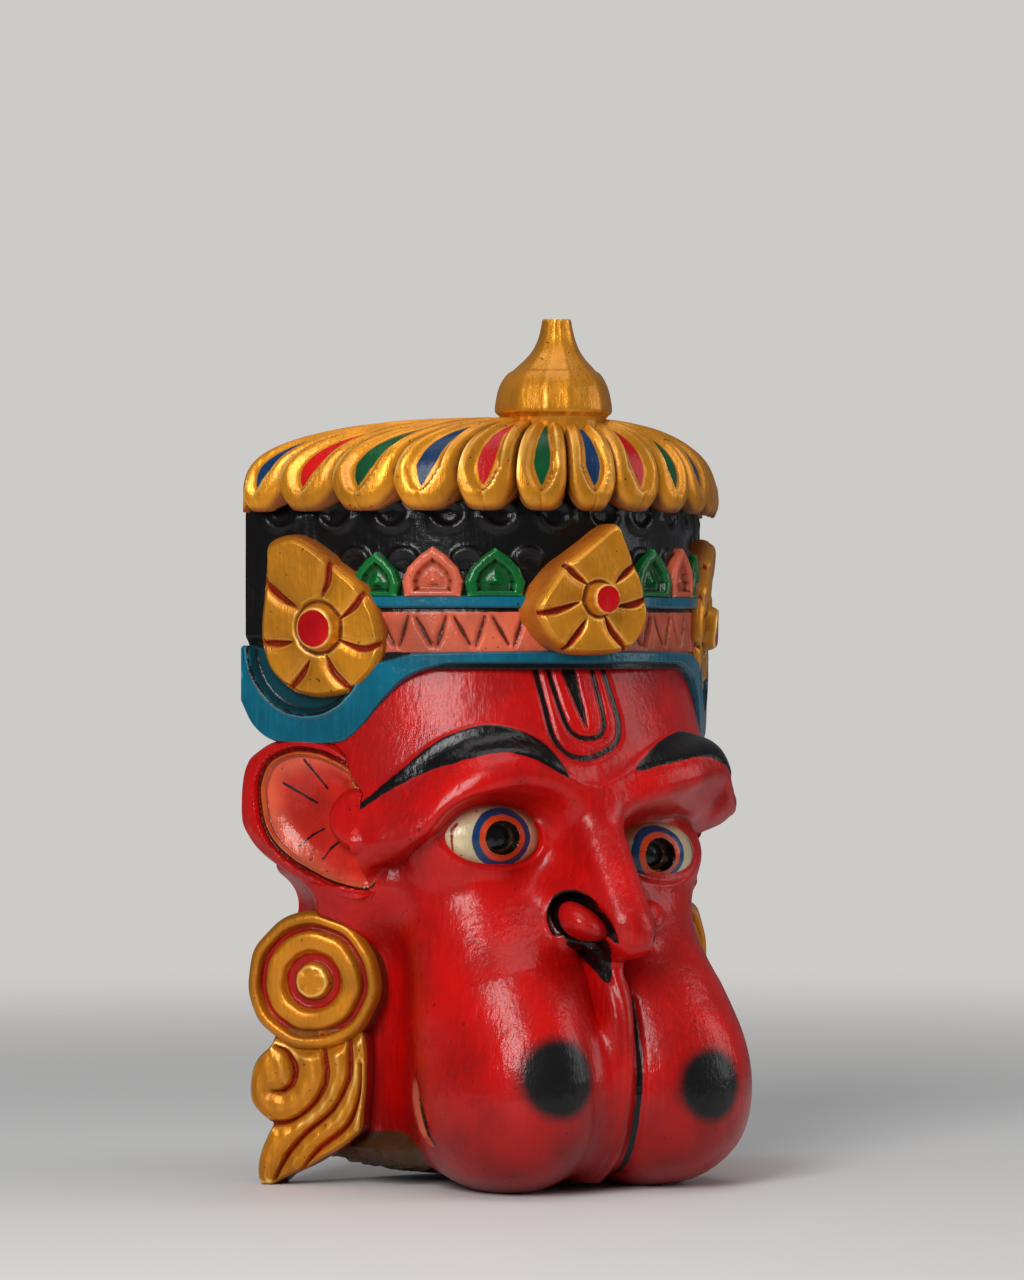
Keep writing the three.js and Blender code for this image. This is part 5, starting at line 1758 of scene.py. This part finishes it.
def ear(side, word):
    """h = rim - groove - dish, each a step over the distance to an outline, then the knob's rings."""
    place = ear_place(side)
    levels = np.r_[np.linspace(0.02, 0.94, 72), np.linspace(0.95, 1, 8)]
    a, b, inward = polar(EAR_EDGE, levels, 220)
    dish = area(a, b, curve(EAR_DISH, closed=True))
    h = 6.2 - 1.6 * ease(inward, 6.0, 1.2) - 2.6 * ease(inward, 1.6, 0)
    h = h - 2.6 * ease(dish, 3.4, 2.2) + 1.3 * bump(dish, 0.5, 0.7)
    h = h - 3.4 * ease(dish, 0.6, -7) * ease(np.hypot(a - 14, b), 30, 10) - 0.5 * ease(dish, 0.2, -0.8)
    h = h + 0.2 * np.sin(a / 3.5 + b / 9)
    skirt = [on_seat(place, a[-1], b[-1], 0 * a[-1] + v) for v in (0.2, -5.0, -8.5)]
    rings = np.concatenate([on_seat(place, a, b, h), skirt])

    def paint(x, d, z):
        """Distances to the dish, its lip, the groove, the warm middle and the hairs."""
        a, b, h = from_seat(place, x, d, z)
        front = np.where(h > -3, 0, 9)
        dish = area(a, b, curve(EAR_DISH, closed=True))
        hairs = np.min([stroke(a, b, widths(line, 0.42)) for line in EAR_HAIRS], 0)
        return {"dish": dish + front, "lip": np.abs(dish - 0.5) - 0.6 + front,
                "groove": np.abs(dish - 1.5 + 0.4 * ease(b, 0, -12)) - 0.25 - 0.3 * ease(b, 0, -12) + front,
                "warm": dish + 6 - 5 * ease(a, -6, 18) + front, "hairs": hairs + front}

    ring_piece(f"ear_{word}", rings, ear_paint, "red_lacquer", paint=paint)
    t = np.linspace(0, 2 * PI, 81)[:-1]
    radius, height = curve(KNOB, 6).T
    a = np.minimum(25.4 + radius[:, None] * np.cos(t), 27.6)
    b = -1.2 + radius[:, None] * np.sin(t) * 0.88
    ring_piece(f"ear_knob_{word}", on_seat(place, a, b, height[:, None]), red_lacquer_plain, "red_lacquer")


ear_paint = painted("ear paint", RED, DEEP_RED, [
    ("dish", rgb(226, 92, 62), 0.8, 0.45), ("warm", rgb(208, 34, 16), 8.0, 0.42),
    ("lip", rgb(196, 92, 34), 0.4, 0.4), ("groove", rgb(60, 16, 8), 0.6, 0.4),
    ("hairs", BLACK, 0.3, 0.3)], rough=0.36, coat=0.6)
for side, word in SIDES:
    ear(side, word)

# %% [markdown]
# ## Earrings
#
# A disc of rings hangs under each ear, and below it a curl and three flutes sweep down to a point
# that the mask stands on. The disc is a profile turned round its middle. Each flute is a rounded
# section carried along a drawn line, over a red ground that shows in the grooves.

# %% Profile and grooves of the earrings
DISC_PROFILE = [(0.2, 4.2), (4.4, 4.1), (5.8, 3.5), (6.5, 1.6), (7.1, 0.2), (8.4, 0.0), (9.6, 0.2), (10.6, 1.2),
                (11.4, 2.9), (12.4, 3.7), (14.8, 3.9), (16.8, 3.7), (17.8, 2.7), (18.3, 0.9), (18.8, 0.1),
                (20, 0.1), (20.5, 1.1), (20.9, 2.7), (21.6, 3.8), (23.2, 3.9), (24.4, 3.0), (25.3, 0.8),
                (25.5, -1), (25.5, -6), (25.2, -14)]        # (r, h)
PENDANT_LEFT = [(-17, -11), (-20, -14.5), (-24, -16.5), (-29.2, -21.6), (-35.8, -23.9), (-43.8, -23.9),
                (-48.8, -20.3), (-52.6, -15.8), (-57, -17.6), (-62.5, -19.9), (-68, -21.2), (-73, -20.9),
                (-75, -19.6)]               # (b, a) down each edge
PENDANT_RIGHT = [(-17, 17.2), (-20, 19.4), (-26, 20.3), (-38, 20.1), (-47, 19.2), (-53, 18.7), (-56, 16.8),
                 (-60.8, 10.6), (-64.5, 4), (-68.3, -2.6), (-72, -10.4), (-75, -16)]
PENDANT_GROOVES = [
    [(-14.5, -24, 0.5), (-10, -26.4, 1.0), (-7, -31.8, 1.5), (-7.9, -37.4, 1.3), (-11.4, -40.4, 1.0),
     (-15.5, -40.6, 0.3)],
    [(3.2, -20, 1.1), (4.6, -28, 1.2), (5, -36, 1.2), (0.4, -44.7, 1.1), (-7.9, -51.2, 1.0), (-16.6, -52.6, 1.3)],
    [(13.6, -20, 1.2), (14.2, -28, 1.3), (13.4, -36, 1.1), (7.6, -47, 0.9), (-2.6, -55.8, 1.0), (-9.8, -64, 1.0),
     (-14.6, -73, 0.5)],
    [(18.4, -30, 0.3), (17.6, -41, 0.7), (13.3, -52.4, 1.0), (2.4, -61.4, 1.0), (-4.2, -69, 0.4)],
]
print("an earring is", DISC["radius"] - PENDANT_LEFT[-1][0], "mm long")

# %% [markdown]
# ### The pendant
#
# Below the disc the plate lies between two drawn edges, so its grid runs across from one edge to the
# other, row by row. Each flute between two grooves is rounded by the square root of its distance to
# them, which gives the full, round section that a gouge leaves.

# %% The pendant


def groove_gap(a, b):
    """Distance to the nearest groove of the pendant."""
    return np.min([stroke(a, b, curve(line)) for line in PENDANT_GROOVES], 0)


def pendant_rows():
    """Rows down the plate between its two drawn edges; height from the edges and the grooves."""
    b = np.r_[np.linspace(-17, -73, 118), np.linspace(-73.4, -75, 5)]
    left, right = (np.interp(-b, -line[:, 0], line[:, 1]) for line in (curve(PENDANT_LEFT), curve(PENDANT_RIGHT)))
    v = (1 - np.cos(np.linspace(0, PI, 84))) / 2
    a = left[:, None] + (right - left)[:, None] * (0.5 * v + 0.5 * np.linspace(0, 1, 84))
    b = b[:, None] + 0 * a
    outline = np.concatenate([curve(PENDANT_LEFT)[:, ::-1], curve(PENDANT_RIGHT)[::-1, ::-1]])
    inward = -area(a, b, outline)
    groove = groove_gap(a, b)
    near = np.minimum(groove, inward)
    h = 2.0 + 1.8 * np.sqrt(np.clip(near / 3.4, 0, 1)) - 2.6 * ease(groove, 0.3, -0.9)
    h = h - 1.2 * ease(inward, 1.0, 0) * (groove > 0) + 0.12 * np.sin(a * 1.1 + b / 3)
    h = h * (0.2 + 0.8 * ease(np.hypot(a, b), 24.5, 29))
    return a, b, h


def pendant(place, name):
    """The rows on their seat, with a point more at each end that goes 13.5 mm back."""
    a, b, h = pendant_rows()
    back = 0 * a[:, :1] - 13.5
    ring_a = np.concatenate([a[:, :1], a, a[:, -1:]], 1)
    ring_b = np.concatenate([b[:, :1], b, b[:, -1:]], 1)
    ring_h = np.concatenate([back, h, back], 1)
    rings = on_seat(place, ring_a, ring_b, ring_h)
    rings[..., 2] = np.maximum(rings[..., 2], 0)

    def paint(x, d, z):
        """Distances to the grooves, the brown walls, and the red wall towards the cheek."""
        a, b, h = from_seat(place, x, d, z)
        groove = groove_gap(a, b)
        return {"grooves": groove + 0.35 + np.where(h > -1, 0, 9), "side": h + 0.4 + np.where(a > 5, 0, 9),
                "wall": h - 0.9 + np.where(groove < 0.4, 9, 0)}

    ring_piece(name, rings, earring_gold, "gold_paint", paint=paint, sharp=50)


print("the rounded flutes rise to", pendant_rows()[2].max().round(2), "mm")

# %% [markdown]
# ### The disc, and both earrings
#
# The disc is a profile turned round its middle, like work on a lathe, but a hand-cut circle is never
# quite round. So three small waves run along its radius. Both earrings get the same gold, with red
# ground left in the grooves.

# %% The disc, and both earrings


def earring(side, word):
    """A profile turned round the disc's middle, then the plate that hangs from it."""
    place = swapped(seat(side * DISC[side], DISC["d"], DISC["z"], side * DISC["turn"]), side)
    t = np.linspace(0, 2 * PI, 181)[:-1]
    r, h = curve(DISC_PROFILE, 5).T
    r = r[:, None] * (1 + 0.010 * np.cos(3 * t + 1) + 0.008 * np.cos(7 * t) + 0.006 * np.cos(11 * t + 2))
    disc = on_seat(place, r * np.cos(t), r * np.sin(t), h[:, None] + 0.15 * np.sin(5 * t) * (r > 3))

    def paint(x, d, z):
        """Distances to the two red grooves of the disc and to its brown wall."""
        a, b, h = from_seat(place, x, d, z)
        r = np.hypot(a, b)
        grooves = np.minimum(np.abs(r - 19.4) - 1.0, np.abs(r - 8.7) - 1.7)
        return {"grooves": grooves + np.where(h > -1, 0, 9), "wall": h, "side": 9 + 0 * h}

    ring_piece(f"earring_{word}", disc, earring_gold, "gold_paint", paint=paint)
    pendant(place, f"pendant_{word}")


# the pale edge colour is a painted highlight and wear on the rings' edges
earring_gold = painted("earring gold", rgb(214, 134, 30), BROWN, [
    ("wall", rgb(120, 60, 20), 1.6, 0.5), ("side", rgb(150, 10, 8), 1.0, 0.42),
    ("grooves", rgb(168, 18, 12), 0.7, 0.42)],
    metal=0.5, rough=0.4, coat=0.2, streak=0.2, edge=rgb(255, 210, 112), shade_and_dirt_bends=(0.15, 0.7))
for side, word in SIDES:
    earring(side, word)

# %% [markdown]
# ## Light
#
# The photographer lit the mask with one large soft light at the upper left and a weaker one on the
# right. Large rectangles give the same broad, soft highlights on the lacquer. The world behind is
# pale for the camera but dim as a light, so the forms keep their shadows.

# %% Light
world = bpy.data.worlds.new("studio")
bpy.context.scene.world = world
world.use_nodes = True
tree = world.node_tree
tree.nodes.clear()
seen = node(tree, "ShaderNodeLightPath").outputs["Is Camera Ray"]
pale = node(tree, "ShaderNodeBackground", {"Color": rgb(205, 203, 200), "Strength": 1.0}).outputs[0]
dim = node(tree, "ShaderNodeBackground", {"Color": (0.9, 0.93, 1, 1), "Strength": 0.13}).outputs[0]
both_ways = node(tree, "ShaderNodeMixShader", {0: seen, 1: dim, 2: pale}).outputs[0]
node(tree, "ShaderNodeOutputWorld", {"Surface": both_ways})


def softbox(name, location, size, power, aim=(0, 0, 0.16)):
    """A lamp turned down by atan(level distance / height) and round by atan(x / -y) towards its aim."""
    light = bpy.data.lights.new(name, "AREA")
    light.shape = "RECTANGLE"
    light.size, light.size_y = size
    light.energy = power
    lamp = bpy.data.objects.new(name, light)
    bpy.context.scene.collection.objects.link(lamp)
    away = np.subtract(location, aim)
    lamp.location = location
    lamp.rotation_euler = (np.arctan2(np.hypot(away[0], away[1]), away[2]), 0, np.arctan2(away[0], -away[1]))
    print(name, "lamp,", round(float(np.linalg.norm(away)), 2), "m away,", power, "W")


softbox("key", (-0.9, -0.75, 0.75), (0.45, 0.8), 13)
softbox("fill", (1.2, -0.7, 0.6), (0.6, 1.0), 4.5)
softbox("top", (0.0, -0.1, 1.3), (1.0, 1.0), 5.5)

# %% [markdown]
# ## The floor
#
# The mask stands on its two lobes and the tips of its pendants, on a plain matt floor. Far from the
# mask the floor fades into the pale world, so no horizon cuts through the picture.

# %% The floor
HALF_FLOOR = 9                              # metres
floor_mesh = bpy.data.meshes.new("floor")
corners = [(-HALF_FLOOR, -HALF_FLOOR, 0), (HALF_FLOOR, -HALF_FLOOR, 0), (HALF_FLOOR, HALF_FLOOR, 0),
           (-HALF_FLOOR, HALF_FLOOR, 0)]
floor_mesh.from_pydata(corners, [], [(0, 1, 2, 3)])
floor = bpy.data.objects.new("floor", floor_mesh)
bpy.context.scene.collection.objects.link(floor)
floor_paint, tree, where = new_material("floor paint")
away = node(tree, "ShaderNodeVectorMath", {0: where}, operation="LENGTH").outputs["Value"]
matt = node(tree, "ShaderNodeBsdfPrincipled", {"Base Color": rgb(222, 221, 219), "Roughness": 0.6})
clear = node(tree, "ShaderNodeBsdfTransparent").outputs[0]
faded = node(tree, "ShaderNodeMixShader", {0: ramp(tree, away, 0.3, 1.3), 1: matt.outputs[0], 2: clear})
node(tree, "ShaderNodeOutputMaterial", {"Surface": faded.outputs[0]})
floor.data.materials.append(floor_paint)
bpy.context.scene.view_settings.view_transform = "Standard"
print("floor, m:", 2 * HALF_FLOOR, "square, fading out from 0.3 to 1.3 m")
